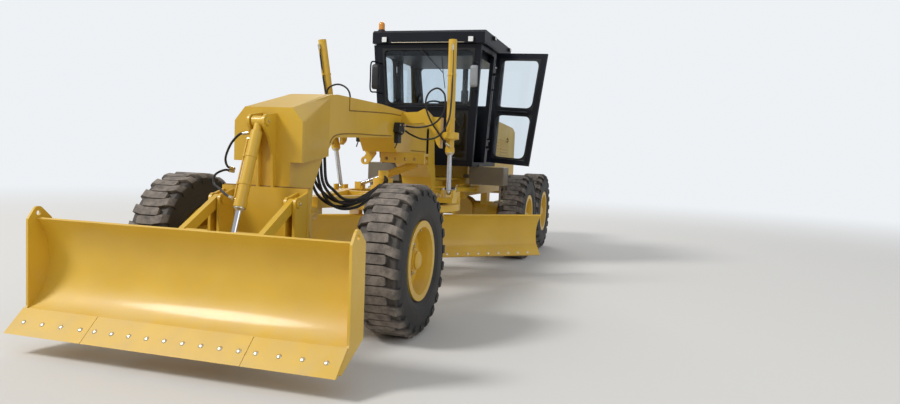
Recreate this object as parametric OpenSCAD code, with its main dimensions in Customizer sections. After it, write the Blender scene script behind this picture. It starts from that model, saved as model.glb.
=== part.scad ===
// Motor grader with a front dozer blade, parked, left cab door open.
// X points to the machine's left, Y to its rear, Z up. Modelled from the front axle, then centred.

/* [Wheels] */
// Outside diameter of a tyre over its lugs
tyre_d = 1350; // [1300:5:1380]
// Width of a tyre
tyre_w = 410; // [400:5:460]
// Diameter of the bead seat
rim_seat_d = 635; // [620:1:640]
// Height of the tyre's lugs
lug_h = 36; // [20:1:45]
// Lugs on each half of a tyre
lug_count = 24; // [18:1:26]
// Distance across the machine between the tyres' middles
track = 2225; // [2140:5:2240]
// Distance from the front axle to the middle of the rear wheel pairs
wheelbase = 6140; // [6100:10:6300]
// Distance between the two wheels of a rear pair
tandem_pitch = 1540; // [1500:5:1600]

/* [Front frame] */
// Width of the gooseneck
neck_w = 440; // [380:10:460]
// Width of the nose plate
nose_w = 665; // [620:5:700]
// Place of the nose plate's face in front of the axle
nose_y = -450; // [-480:5:-430]
// Height of the gooseneck's top
neck_top = 2165; // [2120:5:2220]
// Place of the articulation pin behind the front axle
hitch_y = 4250; // [4200:10:4300]

/* [Front axle] */
// Distance of a kingpin from the middle
kingpin_x = 850; // [840:5:860]
// Depth of the axle beam
beam_h = 200; // [160:10:220]
// Length of a steering arm behind its kingpin
steer_arm = 230; // [200:5:250]

/* [Dozer blade] */
// Width of the dozer blade over its end plates
dozer_w = 2720; // [2500:10:2750]
// Height of the blade's upper edge
dozer_top = 1000; // [950:10:1050]
// Height of the cutting edge's tip above the ground
dozer_tip = 160; // [150:5:200]
// Length of the push arms between their pins
push_arm_len = 740; // [720:5:760]
// Slope of the push arms below level
push_arm_slope = 28.5; // [27:0.5:30]
// Distance from the middle to the push arms
push_arm_x = 360; // [340:5:370]
// Plate thickness of the dozer blade
dozer_t = 16; // [12:1:20]

/* [Drawbar and circle] */
// Yaw of the drawbar to the left of straight
drawbar_yaw = 3.4; // [2:0.2:4]
// Distance from the drawbar's ball to the circle's centre
circle_reach = 2220; // [2200:10:2260]
// Outside diameter of the circle
circle_d = 1520; // [1460:10:1540]
// Height of the circle ring's underside
circle_z = 930; // [925:1:945]

/* [Moldboard] */
// Length of the moldboard
board_len = 3658; // [3500:10:3700]
// Height of the moldboard with its cutting edge
board_h = 545; // [520:5:560]
// Yaw of the moldboard from square, left end back
board_yaw = 40; // [35:1:45]
// How far the moldboard is shifted to the left
board_shift = 140; // [100:10:180]
// Height of the cutting edge above the ground
board_z = 300; // [290:5:300]
// Plate thickness of the moldboard
board_t = 20; // [16:1:25]

/* [Lift gear] */
// Distance of the lift cylinders' balls from the drawbar's middle
lift_ball_x = 735; // [715:5:745]
// Reach of the lift arms from the saddle's middle
lift_arm_x = 772; // [760:1:785]
// How far the saddle is pinned over to the left
saddle_shift = 57; // [45:1:70]
// Height of the lift cylinders' trunnions
trunnion_z = 1850; // [1830:5:1870]
// Bore side outside diameter of the lift cylinders
lift_tube_d = 100; // [90:2:110]

/* [Rear frame] */
// Distance across the frame rails' outsides
rail_span = 860; // [820:10:900]
// Height of the frame rails
rail_h = 250; // [220:10:280]
// Place of the rear bumper behind the front axle
rear_y = 8000; // [7950:10:8100]
// Width of the hood
hood_w = 1000; // [900:10:1060]
// Height of the hood's top at the cab
hood_top = 2300; // [2200:10:2350]
// Radius of the bore for the tow pin
tow_pin_r = 25; // [20:1:30]

/* [Cab] */
// Height of the cab's roof
roof_z = 3400; // [3370:5:3450]
// Height of the cab's floor
floor_z = 1470; // [1450:5:1500]
// Half width of the cab at the floor
cab_half_low = 695; // [685:5:705]
// Half width of the cab under the roof
cab_half_high = 805; // [795:1:815]
// Place of the cab's foot at the front
cab_front_low = 3900; // [3880:10:3950]
// Place of the cab's front under the roof
cab_front_high = 3790; // [3770:10:3810]
// Place of the cab's rear wall
cab_rear = 5380; // [5350:10:5400]
// Thickness of the cab's walls and posts
cab_wall = 60; // [50:1:70]
// Place of the doors' hinges
door_hinge_y = 4640; // [4600:10:4680]
// Thickness of a door
door_t = 40; // [36:1:46]
// How far the left door stands open
door_open = 74; // [60:1:80]
// Thickness of the window glass
glass_t = 6; // [5:1:8]

/* [Hidden] */
$fn = 64;
yellow = [0.86, 0.66, 0.2];
dark = [0.09, 0.1, 0.12];
chrome = [0.8, 0.8, 0.82];
pin_gap = 0.5;
seat_gap = 0.3;
eps = 1;

wheel_r = tyre_d / 2;
wheel_x = track / 2;
rim_r = rim_seat_d / 2;
rim_lip_r = rim_r + 39;
rim_half = 187;
rim_lip_t = 18;
disc_at = 40;
disc_t = 20;
spindle_r = 50;
hub_r = 110;
tandem_y = [wheelbase - tandem_pitch / 2, wheelbase + tandem_pitch / 2];

// Front frame sizes
neck_h = 360;
neck_low = neck_top - neck_h;
column_w = 420;
column_low = 860;
saddle_y = 2300;
tall_rear = hitch_y - 700;
tall_low = 1630;
tongue_y = tall_rear;
tongue_w = 300;
hitch_low = 1010;
hitch_high = 1240;
hitch_pin_r = 60;
hitch_plate_t = 40;
axle_pin_z = 690;
axle_lug_y = 150;
axle_lug_t = 50;
axle_pin_r = 45;

// Steering sizes
boss_r = 70;
boss_h = 230;
knuckle_t = 45;
kingpin_r = 35;
arm_z = wheel_r - boss_h / 2 - knuckle_t;
tie_r = 28;
tie_pin_r = 18;

// Dozer sizes
link_y = -640;
link_high = 1160;
link_low = 600;
link_reach = push_arm_len * cos(push_arm_slope);
link_drop = push_arm_len * sin(push_arm_slope);
blade_pin_y = link_y - link_reach;
blade_pin_high = link_high - link_drop;
blade_pin_low = link_low - link_drop;
link_t = 50;
link_pin_r = 25;
ear_t = 25;
ear_gap = 6;
edge_top_z = 300;
edge_top_y = -1650;
edge_tip_y = -1830;
blade_top_y = -1560;
blade_sag = 165;
dozer_cyl_top = [0, -596, 1840];
dozer_cyl_low = [0, -1090, 470];
dozer_rod_d = 55;
dozer_len = norm(dozer_cyl_low - dozer_cyl_top);

// Drawbar frame: origin on the floor under the ball, Y along the drawbar
ball_y = 330;
ball_z = 1000;
bar_low = 1045;
bar_high = 1165;
circle_t = 80;
circle_out = circle_d / 2;
circle_in = circle_out - 120;
arm_x = 520;
arm_t = 50;
arm_rear = floor(sqrt(pow(circle_in, 2) - pow(arm_x, 2))) + 27;
board_face_y = -190;
board_sag = 95;
board_high = [board_face_y - 10, board_z + board_h];
board_low = [board_face_y + 40, board_z + 60];
board_r = arc_r(board_low, board_high, board_sag);
board_mid = arc_mid(board_low, board_high, board_sag);
side_y = 60;
side_z = 595;
ball_top = 1170;
cross_y = saddle_y - ball_y;
lift_rod_d = 56;
trunnion_r = 75;
shift_local = [-500, cross_y + 75, 1210];
shift_low = in_drawbar_point(shift_local);
shift_top = [470, shift_low.y, tall_low - 100];
shift_len = norm(shift_low - shift_top);

// Rear frame sizes
rail_high = 1250;
rail_low = rail_high - rail_h;
rail_t = 100;
rail_front = 4560;
rail_half = rail_span / 2;
hood_front = cab_rear + 40;
hood_wall = 8;
engine_top = 2000;
stack_x = -230;
stack_y = 6700;
turn_z = 1120;
turn_tube_x = 560;
turn_tube_y = 4700;
turn_rod_x = 310;
turn_rod_y = 3760;
turn_len = norm([turn_rod_x - turn_tube_x, turn_rod_y - turn_tube_y]);
tank_gap = 45;
tank_l = 360;
box_rear = tandem_y[0] - wheel_r - tank_gap;
box_front = box_rear - tank_l;
box_low = 1200;
box_out = 1080;

cab_tilt = atan((cab_half_high - cab_half_low) / (roof_z - floor_z));
roof_t = 190;
cab_h = roof_z - roof_t - floor_z;
cab_half_top = cab_half_low + cab_h * sin(cab_tilt);
roof_low = floor_z + cab_h * cos(cab_tilt) + cab_wall * sin(cab_tilt) + seat_gap;
roof_front = cab_front_high - 40;
roof_half = cab_half_high + 40;
hinge_heights = [0.16 * cab_h, 0.8 * cab_h];
front_slant = atan((cab_front_low - cab_front_high) / cab_h);
door_axis_x = door_t + 6;

// Centre of the whole machine's box, to bring it to the middle
box_left = circle_reach * sin(drawbar_yaw) + (board_shift + board_len / 2) * cos(board_yaw)
    - (board_face_y - 20) * sin(board_yaw);
box_right = dozer_w / 2;
origin_x = (box_left - box_right) / 2;
origin_y = (rear_y + 120 + edge_tip_y) / 2;

// The curve that a blade's section follows: centre and radius of an arc over a chord with a sag
function chord_len(p, q) = norm(q - p);
function arc_r(p, q, sag) = (pow(chord_len(p, q) / 2, 2) + sag * sag) / (2 * sag);
function arc_mid(p, q, sag) =
    let (u = (q - p) / chord_len(p, q), n = [u.y, -u.x]) (p + q) / 2 + n * (sag - arc_r(p, q, sag));

// Back of the moldboard's plate at a height, less a little so that what stands on it is joined
function board_back(z) = board_mid.x + sqrt(pow(board_r + board_t, 2) - pow(z - board_mid.y, 2)) - 6;

module block(low, high) { translate(low) cube(high - low); }
// Side outline of (y, z) points between two places across the machine
module side_plate(points, x0, x1) {
    translate([x0, 0, 0]) rotate([90, 0, 90]) linear_extrude(x1 - x0) polygon(points);
}
// Front outline of (x, z) points between two places along the machine
module front_plate(points, y0, y1) {
    translate([0, y1, 0]) rotate([90, 0, 0]) linear_extrude(y1 - y0) polygon(points);
}
module plan_plate(points, z0, z1) { translate([0, 0, z0]) linear_extrude(z1 - z0) polygon(points); }
module bar_x(r, x0, x1) { translate([x0, 0, 0]) rotate([0, 90, 0]) cylinder(r = r, h = x1 - x0); }
module bar_y(r, y0, y1) { translate([0, y1, 0]) rotate([90, 0, 0]) cylinder(r = r, h = y1 - y0); }
module bar_z(r, z0, z1) { translate([0, 0, z0]) cylinder(r = r, h = z1 - z0); }
module both_sides() { children(); mirror([1, 0, 0]) children(); }
// Turns Z to point from p to q, with p as the origin
module along(p, q) {
    d = q - p;
    translate(p) rotate([0, acos(d.z / norm(d)), atan2(d.y, d.x)]) children();
}
module at_origin() { translate([-origin_x, -origin_y, 0]) children(); }

// Wheels, with the axle along Z and the outer face towards +Z
module tyre_section() {
    side = tyre_w / 2;
    tread_r = wheel_r - lug_h;
    polygon([
        [rim_r, 168], [rim_r + 42, 168], [rim_r + 60, side - 25], [rim_r + 110, side - 4], [rim_r + 160, side],
        [rim_r + 230, side - 5], [tread_r - 25, side - 15], [tread_r, side - 40],
        [tread_r, 40 - side], [tread_r - 25, 15 - side], [rim_r + 230, 5 - side],
        [rim_r + 160, -side], [rim_r + 110, 4 - side], [rim_r + 60, 25 - side], [rim_r + 42, -168], [rim_r, -168]
    ]);
}
// Space that the lugs fill: flat crown and chamfered shoulders
module lug_section() {
    side = tyre_w / 2 - 2;
    polygon([[wheel_r - 130, -side], [wheel_r - 38, -side], [wheel_r, 45 - side], [wheel_r, side - 45],
        [wheel_r - 38, side], [wheel_r - 130, side]]);
}
module lug() {
    side = tyre_w / 2 + 5;
    root = wheel_r - lug_h - 60;
    plan = [[-26, -100], [30, -100], [38, -80], [38, 70], [76, side], [-4, side], [-38, 70], [-38, -88]];
    translate([root, 0, 0]) rotate([90, 0, 90]) linear_extrude(wheel_r + 10 - root) polygon(plan);
}
module tyre() {
    color([0.16, 0.15, 0.15]) rotate([0, 90, 0]) {
        rotate_extrude() tyre_section();
        intersection() {
            rotate_extrude() lug_section();
            for (i = [0:lug_count - 1], half = [0, 1]) {
                rotate([0, 0, (i + half / 2) * 360 / lug_count]) mirror([0, 0, half]) lug();
            }
        }
    }
}
module rim() {
    color(yellow) rotate([0, 90, 0]) difference() {
        union() {
            rotate_extrude() polygon([
                [rim_r - seat_gap, 168.5 - rim_lip_t], [rim_r - seat_gap, 168.5], [rim_lip_r, 168.5],
                [rim_lip_r, rim_half], [rim_r - 18, rim_half], [rim_r - 30, 140], [rim_r - 40, disc_at + disc_t],
                [hub_r, disc_at + disc_t], [hub_r, disc_at + disc_t + 60], [0, disc_at + disc_t + 60],
                [0, disc_at - 60], [hub_r, disc_at - 60], [hub_r, disc_at], [rim_r - 40, disc_at],
                [rim_r - 18, -rim_half], [rim_lip_r, -rim_half], [rim_lip_r, -168.5], [rim_r - seat_gap, -168.5]
            ]);
        }
        translate([0, 0, disc_at - 61]) cylinder(r = spindle_r + pin_gap, h = 90);
    }
}
module wheel_at(side, y) { translate([side * wheel_x, y, wheel_r]) rotate([0, 0, side < 0 ? 180 : 0]) children(); }

// Rear frame, axle and engine housing
module rear_frame() {
    color(yellow) {
        both_sides() block([rail_half - rail_t, rail_front, rail_low], [rail_half, rear_y, rail_high]);
        for (y = [5000, wheelbase, 7400]) block([-rail_half, y - 60, rail_low + 30], [rail_half, y + 60, rail_high - 30]);
        block([-hood_w / 2, rear_y, rail_low - 100], [hood_w / 2, rear_y + 60, rail_high]);
        // Hitch fork with its pin
        for (z = [hitch_low - 45 - pin_gap, hitch_high + 5])
            plan_plate([[-130, hitch_y - 90], [130, hitch_y - 90], [rail_half, rail_front + 160],
                [-rail_half, rail_front + 160]], z, z + hitch_plate_t);
        block([-rail_half + 1, rail_front + 40, rail_low - 40], [rail_half - 1, rail_front + 159, hitch_high + 43]);
        translate([0, hitch_y, 0]) bar_z(hitch_pin_r, hitch_low - 30, hitch_high + 30);
        // Ears for the articulation cylinders
        both_sides() for (z = [turn_z - 45, turn_z + 25]) {
            plan_plate([[rail_half - 20, turn_tube_y - 60], [turn_tube_x + 50, turn_tube_y - 50],
                [turn_tube_x + 50, turn_tube_y + 50], [rail_half - 20, turn_tube_y + 120]], z, z + 20);
        }
        both_sides() translate([turn_tube_x, turn_tube_y, 0]) bar_z(20, turn_z - 40, turn_z + 40);
        // Tow hitch
        difference() {
            for (z = [rail_low - 60, rail_low + 20])
                block([-80, rear_y + 50, z], [80, rear_y + 120, z + 25]);
            translate([0, rear_y + 85, 0]) bar_z(tow_pin_r, rail_low - 100, rail_low + 100);
        }
        // Cab mounts
        both_sides() block([rail_half - 60, 4700, rail_high - eps], [rail_half - 10, 4800, floor_z + 2 - seat_gap]);
        both_sides() block([rail_half - 60, 5200, rail_high - eps], [rail_half - 10, 5300, floor_z + 2 - seat_gap]);
    }
}

module rear_axle() {
    color(yellow) {
        bar_at(wheelbase, wheel_r + 40) bar_x(130, -700, 700);
        translate([0, 0, wheel_r + 40]) bar_y(200, wheelbase - 170, wheelbase + 170);
        both_sides() block([rail_half - 110, wheelbase - 110, wheel_r + 40], [rail_half, wheelbase + 110, rail_low - seat_gap]);
        for (side = [-1, 1]) {
            low = side > 0 ? 640 : -800;
            block([low, tandem_y[0], wheel_r - 185], [low + 160, tandem_y[1], wheel_r + 185]);
            for (y = tandem_y) {
                bar_at(y, wheel_r) bar_x(190, low, low + 160);
                bar_at(y, wheel_r) bar_x(spindle_r, side > 0 ? 790 : -wheel_x - disc_at + 10, side > 0 ? wheel_x + disc_at - 10 : -790);
            }
        }
    }
}
module bar_at(y, z) { translate([0, y, z]) children(); }

module hood() {
    color(yellow) difference() {
        hood_shell();
        translate([stack_x, stack_y, 0]) bar_z(52, hood_top - 200, hood_top + 1);
    }
}
module hood_shell() {
    union() {
        side_plate([[hood_front, rail_high + seat_gap], [hood_front, hood_top], [rear_y - 300, hood_top - 90],
            [rear_y - 60, hood_top - 170], [rear_y - 60, rail_high + seat_gap], [rear_y - 60 - 40, rail_high + seat_gap],
            [rear_y - 100, hood_top - 200], [hood_front + 40, hood_top - 40], [hood_front + 40, rail_high + seat_gap]],
            -hood_w / 2, hood_w / 2);
        both_sides() side_plate([[hood_front, rail_high + seat_gap], [hood_front, hood_top],
            [rear_y - 300, hood_top - 90], [rear_y - 60, hood_top - 170], [rear_y - 60, rail_high + seat_gap]],
            hood_w / 2 - hood_wall, hood_w / 2);
    }
}
module grille() {
    color(dark) difference() {
        block([-hood_w / 2 + 20, rear_y - 60 + seat_gap, rail_high + seat_gap], [hood_w / 2 - 20, rear_y, hood_top - 200]);
        for (i = [0:11])
            block([-hood_w / 2 + 80, rear_y - 30, rail_high + 80 + i * 60], [hood_w / 2 - 80, rear_y + 1, rail_high + 110 + i * 60]);
    }
}
module engine() {
    color([0.3, 0.3, 0.3]) block([-300, 6000, rail_high - 30 + seat_gap], [300, 7200, engine_top]);
}
module exhaust() {
    color(dark) translate([stack_x, stack_y, 0]) difference() {
        bar_z(50, engine_top + seat_gap, 3250);
        bar_z(44, 2600, 3251);
    }
}
module steps_tanks() {
    color([0.45, 0.43, 0.38]) both_sides() {
        block([560, box_front, box_low], [box_out, box_rear, floor_z - 5]);
        block([rail_half - 50, box_rear - 45, hitch_high + 45 + seat_gap], [570, box_rear - 5, hitch_high + 100]);
        block([box_out - 130, box_front + 20, box_low - 262], [box_out, box_rear - 20, box_low - 237]);
        for (y = [box_front + 20, box_rear - 30])
            block([box_out - 60, y, box_low - 262], [box_out - 30, y + 10, box_low + 10]);
    }
}
// Cab: a side panel frame in its own leaning plane, Y along the machine and Z up the slope
module cab_side(side) { translate([side * cab_half_low, 0, floor_z]) rotate([0, side * cab_tilt, 0]) children(); }
function front_line(h) = cab_front_low + (cab_front_high - cab_front_low) * h / cab_h;
function door_hole(e) = [[front_line(60) + 70 + e, 60 + e], [door_hinge_y - 30 - e, 60 + e],
    [door_hinge_y - 30 - e, cab_h - 70 - e], [front_line(cab_h - 70) + 70 + e, cab_h - 70 - e]];
function rear_hole(e) = [[door_hinge_y + 60 + e, 620 + e], [cab_rear - 90 - e, 620 + e],
    [cab_rear - 90 - e, cab_h - 90 - e], [door_hinge_y + 60 + e, cab_h - 90 - e]];
function trapeze(low_half, high_half, z0, z1) =
    [[-low_half, z0], [low_half, z0], [high_half, z1], [-high_half, z1]];
module cab_frame() {
    color(dark) {
        block([-cab_half_low + 12, cab_front_low + 12, floor_z + 2], [cab_half_low - 12, cab_rear - 12, floor_z + 50]);
        for (side = [-1, 1]) cab_side(side) difference() {
            side_plate([[front_line(0), 0], [cab_rear, 0], [cab_rear, cab_h], [front_line(cab_h), cab_h]],
                side > 0 ? -cab_wall : 0, side > 0 ? 0 : cab_wall);
            side_plate(door_hole(0), -cab_wall - 1, cab_wall + 1);
            side_plate(rear_hole(0), -cab_wall - 1, cab_wall + 1);
        }
        // Front wall, leaning forward
        translate([0, cab_front_low, floor_z]) rotate([front_slant, 0, 0]) difference() {
            front_plate(trapeze(cab_half_low - 10, cab_half_top - 6, 3, cab_h / cos(front_slant) - 8), 2, cab_wall);
            front_plate(front_window(0), -1, cab_wall + 1);
            both_sides() front_plate(foot_window(0), -1, cab_wall + 1);
        }
        difference() {
            front_plate(trapeze(cab_half_low - 10, cab_half_top - 6, floor_z + 1, floor_z + cab_h - 3),
                cab_rear - cab_wall, cab_rear - 2);
            front_plate(rear_window(0), cab_rear - cab_wall - 1, cab_rear + 1);
        }
        // Hinge brackets with their pins
        for (side = [-1, 1]) cab_side(side) mirror([side < 0 ? 1 : 0, 0, 0]) for (h = hinge_heights) {
            block([-20, door_hinge_y + 8, h], [door_t + 20, door_hinge_y + 40, h + 40]);
            block([door_axis_x - 12, door_hinge_y - 14, h], [door_axis_x + 12, door_hinge_y + 12, h + 40]);
            translate([door_axis_x, door_hinge_y, 0]) bar_z(8, h + 20, h + 110);
        }
    }
}
function front_window(e) = [[-cab_half_low + 45 + e, 870 + e], [cab_half_low - 45 - e, 870 + e],
    [cab_half_top - 90 - e, cab_h - 60 - e], [-cab_half_top + 90 + e, cab_h - 60 - e]];
function foot_window(e) = [[330 + e, 90 + e], [cab_half_low - 90 - e, 90 + e],
    [cab_half_low - 70 - e, 800 - e], [330 + e, 800 - e]];
function rear_window(e) = [[-cab_half_low + 100 + e, floor_z + 950 + e], [cab_half_low - 100 - e, floor_z + 950 + e],
    [cab_half_top - 120 - e, floor_z + cab_h - 130 - e], [-cab_half_top + 120 + e, floor_z + cab_h - 130 - e]];
module cab_glass() {
    mid = cab_wall / 2;
    color([0.5, 0.6, 0.65, 0.4]) {
        translate([0, cab_front_low, floor_z]) rotate([front_slant, 0, 0]) {
            front_plate(front_window(seat_gap), mid - glass_t / 2, mid + glass_t / 2);
            both_sides() front_plate(foot_window(seat_gap), mid - glass_t / 2, mid + glass_t / 2);
        }
        front_plate(rear_window(seat_gap), cab_rear - mid - glass_t / 2, cab_rear - mid + glass_t / 2);
        for (side = [-1, 1]) cab_side(side)
            side_plate(rear_hole(seat_gap), -side * mid - glass_t / 2, -side * mid + glass_t / 2);
    }
}
module cab_roof() {
    color(dark) {
        side_plate([[roof_front, roof_low], [cab_rear + 170, roof_low], [cab_rear + 170, roof_z - 50],
            [cab_rear + 110, roof_z], [roof_front + 50, roof_z], [roof_front, roof_z - 35]], -roof_half, roof_half);
        // Lining under the roof
        block([-cab_half_top + 85, cab_front_low - 20, roof_z - 350], [cab_half_top - 85, cab_rear - 80, roof_low + eps]);
    }
}
module cab_seat() {
    color([0.15, 0.15, 0.16]) {
        block([-180, 4560, floor_z + 50 + seat_gap], [180, 4860, floor_z + 350]);
        block([-250, 4500, floor_z + 350 - eps], [250, 4980, floor_z + 480]);
        translate([0, 4900, floor_z + 440]) rotate([-12, 0, 0]) block([-240, 0, 0], [240, 110, 620]);
    }
}
module cab_console() {
    color([0.2, 0.2, 0.21]) {
        side_plate([[4080, floor_z + 50 + seat_gap], [4280, floor_z + 50 + seat_gap], [4330, floor_z + 700],
            [4200, floor_z + 780], [4080, floor_z + 700]], -150, 150);
        translate([0, 4300, floor_z + 850]) rotate([-35, 0, 0]) {
            difference() {
                bar_z(190, -13, 13);
                bar_z(162, -14, 14);
            }
            bar_z(20, -160, 10);
            block([-180, -15, -8], [180, 15, 8]);
        }
    }
}
module cab_mirrors() {
    rear = cab_front_high - 190;
    color(dark) {
        block([-775, rear - 50, roof_z - 910], [-630, rear, roof_z - 470]);
        block([700, rear - 50, roof_z - 830], [825, rear, roof_z - 520]);
        for (x = [-716, 702], z = [roof_z - 790, roof_z - 560])
            block([x, rear - eps, z], [x + 14, front_line(z + 14 - floor_z) - 0.5, z + 14]);
    }
}
module cab_lamps() {
    color([0.95, 0.5, 0.1]) translate([-760, roof_front + 130, roof_z + seat_gap]) {
        bar_z(55, 0, 30);
        bar_z(45, 29, 150);
    }
    color([0.9, 0.9, 0.9]) both_sides() {
        translate([650, 0, roof_z - 140]) bar_y(38, roof_front - 40, roof_front - seat_gap);
        for (y = [roof_front + 540, roof_front + 1620])
            block([roof_half + seat_gap, y - 40, roof_z - 70], [roof_half + 40, y + 40, roof_z - 10]);
    }
}
// Door in its closed place in the side's leaning plane, hinge line at the rear
function door_outline(e) = [[front_line(70) + 30 + e, 75 + e], [door_hinge_y - 2 - e, 75 + e],
    [door_hinge_y - 2 - e, cab_h - 12 - e], [front_line(cab_h - 12) + 10 + e, cab_h - 12 - e]];
function door_pane(low, high, e) = [[front_line(low) + 30 + 70 + e, low + e], [door_hinge_y - 72 - e, low + e],
    [door_hinge_y - 72 - e, high - e], [front_line(high) + 10 + 80 + e, high - e]];
door_panes = [[150, 830], [900, cab_h - 90]];
module door_place(side, angle) {
    cab_side(side) mirror([side < 0 ? 1 : 0, 0, 0]) translate([door_axis_x, door_hinge_y, 0]) rotate([0, 0, angle])
        translate([-door_axis_x, -door_hinge_y, 0]) children();
}
module door_frame() {
    color(dark) {
        difference() {
            side_plate(door_outline(0), 6, 6 + door_t);
            for (p = door_panes) side_plate(door_pane(p[0], p[1], 0), 5, 7 + door_t);
            for (h = hinge_heights) block([5, door_hinge_y - 30, h - 10], [7 + door_t, door_hinge_y + 1, h + 130]);
        }
        for (h = hinge_heights) difference() {
            union() {
                translate([door_axis_x, door_hinge_y, 0]) bar_z(16, h + 46, h + 106);
                block([door_axis_x - 30, door_hinge_y - 40, h + 50], [door_axis_x - 6, door_hinge_y - 8, h + 102]);
            }
            translate([door_axis_x, door_hinge_y, 0]) bar_z(8 + pin_gap, h, h + 130);
        }
    }
}
module door_glass() {
    color([0.5, 0.6, 0.65, 0.4]) for (p = door_panes)
        side_plate(door_pane(p[0], p[1], seat_gap), 6 + door_t / 2 - glass_t / 2, 6 + door_t / 2 + glass_t / 2);
}
module door_left() { door_place(1, door_open) door_frame(); }
module door_left_glass() { door_place(1, door_open) door_glass(); }
module door_right() { door_place(-1, 0) door_frame(); }
module door_right_glass() { door_place(-1, 0) door_glass(); }

// Front frame: nose, column, neck, saddle section and the tongue to the hitch
module front_frame() {
    color(yellow) {
        difference() {
            union() {
                side_plate([[nose_y, 1500], [nose_y + 5, 1850], [nose_y + 45, 1965], [275, neck_top - 20], [450, neck_top],
                    [1570, neck_top], [tall_rear - 300, neck_top - 60], [tall_rear, neck_top - 120],
                    [tall_rear + 70, 1500], [tongue_y + 150, hitch_high], [tongue_y + 150, hitch_low],
                    [tongue_y + 50, hitch_low], [tongue_y - 70, 1300], [tongue_y - 330, 1480], [tongue_y - 700, tall_low],
                    [2100, tall_low], [1950, neck_low], [420, neck_low - 60], [150, 1526], [-17, 1276], [-60, column_low],
                    [nose_y + 20, column_low], [nose_y, 1100]], -neck_w / 2, neck_w / 2);
                // Nose widening from the neck to a plate with a chamfered top
                hull() {
                    front_plate([[-nose_w / 2, 1500], [nose_w / 2, 1500], [nose_w / 2, 1850], [nose_w / 2 - 100, 1970],
                        [-nose_w / 2 + 100, 1970], [-nose_w / 2, 1850]], nose_y, nose_y + 40);
                    front_plate([[-neck_w / 2 - 1, 1560], [neck_w / 2 + 1, 1560], [neck_w / 2 + 1, neck_top - 45],
                        [neck_w / 2 - 30, neck_top - 15], [-neck_w / 2 + 30, neck_top - 15], [-neck_w / 2 - 1, neck_top - 45]],
                        270, 280);
                }
                // Tongue
                block([-tongue_w / 2, tongue_y + 100, hitch_low], [tongue_w / 2, hitch_y, hitch_high]);
                translate([0, hitch_y, 0]) bar_z(tongue_w / 2, hitch_low, hitch_high);
            }
            translate([0, hitch_y, 0]) bar_z(hitch_pin_r + pin_gap, hitch_low - 1, hitch_high + 1);
            // Oval slot through the neck
            translate([0, tall_rear - 274, 0]) {
                for (z = [1625, 1930]) translate([0, 0, z]) bar_x(50, -neck_w, neck_w);
                block([-neck_w, -50, 1625], [neck_w, 50, 1930]);
            }
        }
        // Ears for the articulation cylinders
        both_sides() for (z = [turn_z - 50, turn_z + 30])
            plan_plate([[tongue_w / 2 - 20, turn_rod_y - 100], [turn_rod_x, turn_rod_y - 40], [turn_rod_x + 40, turn_rod_y],
                [turn_rod_x, turn_rod_y + 40], [tongue_w / 2 - 20, turn_rod_y + 100]], z, z + 20);
        // Lugs and pin that carry the front axle
        for (y = [-axle_lug_y - axle_lug_t, axle_lug_y]) side_plate([[y, column_low + 60], [y + axle_lug_t, column_low + 60],
            [y + axle_lug_t, axle_pin_z - 80], [y, axle_pin_z - 80]], -110, 110);
        side_plate([[-100, column_low], [axle_lug_y + axle_lug_t, column_low], [axle_lug_y + axle_lug_t, 1000], [-100, 1100]],
            -110, 110);
        translate([0, 0, axle_pin_z]) bar_y(axle_pin_r, -axle_lug_y - 20, axle_lug_y + 20);
        // Stud and ball for the drawbar
        translate([0, 0, ball_z]) bar_y(24, axle_lug_y, ball_y);
        translate([0, ball_y, ball_z]) sphere(r = 40);
    }
}
module front_axle() {
    color(yellow) difference() {
        union() {
            block([-kingpin_x, -90, wheel_r - 90], [kingpin_x, 90, wheel_r + 90]);
            translate([0, 0, axle_pin_z]) bar_y(100, -axle_lug_y + 5, axle_lug_y - 5);
            both_sides() translate([kingpin_x, 0, wheel_r]) bar_z(boss_r, -boss_h / 2, boss_h / 2);
        }
        translate([0, 0, axle_pin_z]) bar_y(axle_pin_r + pin_gap, -200, 200);
        both_sides() translate([kingpin_x, 0, wheel_r]) bar_z(kingpin_r + pin_gap, -boss_h, boss_h);
    }
}
module knuckle() {
    high = boss_h / 2 + seat_gap;
    color(yellow) translate([kingpin_x, 0, wheel_r]) {
        bar_z(kingpin_r, -high - 10, high + 10);
        for (z = [-high - knuckle_t, high]) hull() {
            translate([0, 0, z]) cylinder(r = boss_r - 5, h = knuckle_t);
            translate([boss_r + 30, -60, z]) cube([25, 120, knuckle_t]);
        }
        block([boss_r + 15, -60, -high - knuckle_t], [boss_r + 55, 60, high + knuckle_t]);
        bar_x(spindle_r, boss_r + 20, wheel_x - kingpin_x + disc_at - 10);
        // Steering arm with its pin
        plan_plate([[-40, 0], [40, 0], [35, steer_arm + 10], [-35, steer_arm + 10]],
            -high - knuckle_t, -high - 10);
        translate([0, steer_arm, 0]) bar_z(tie_pin_r, -high - knuckle_t - 50, -high - 20);
    }
}
module knuckle_left() { knuckle(); }
module knuckle_right() { mirror([1, 0, 0]) knuckle(); }
module tie_rod() {
    high = boss_h / 2 + seat_gap;
    z = wheel_r - high - knuckle_t - 30;
    color(yellow) difference() {
        translate([0, steer_arm, z]) {
            bar_x(22, -kingpin_x + 20, kingpin_x - 20);
            both_sides() translate([kingpin_x, 0, 0]) bar_z(38, -25, 25);
        }
        both_sides() translate([kingpin_x, steer_arm, z]) bar_z(tie_pin_r + pin_gap, -60, 60);
    }
}
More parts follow.
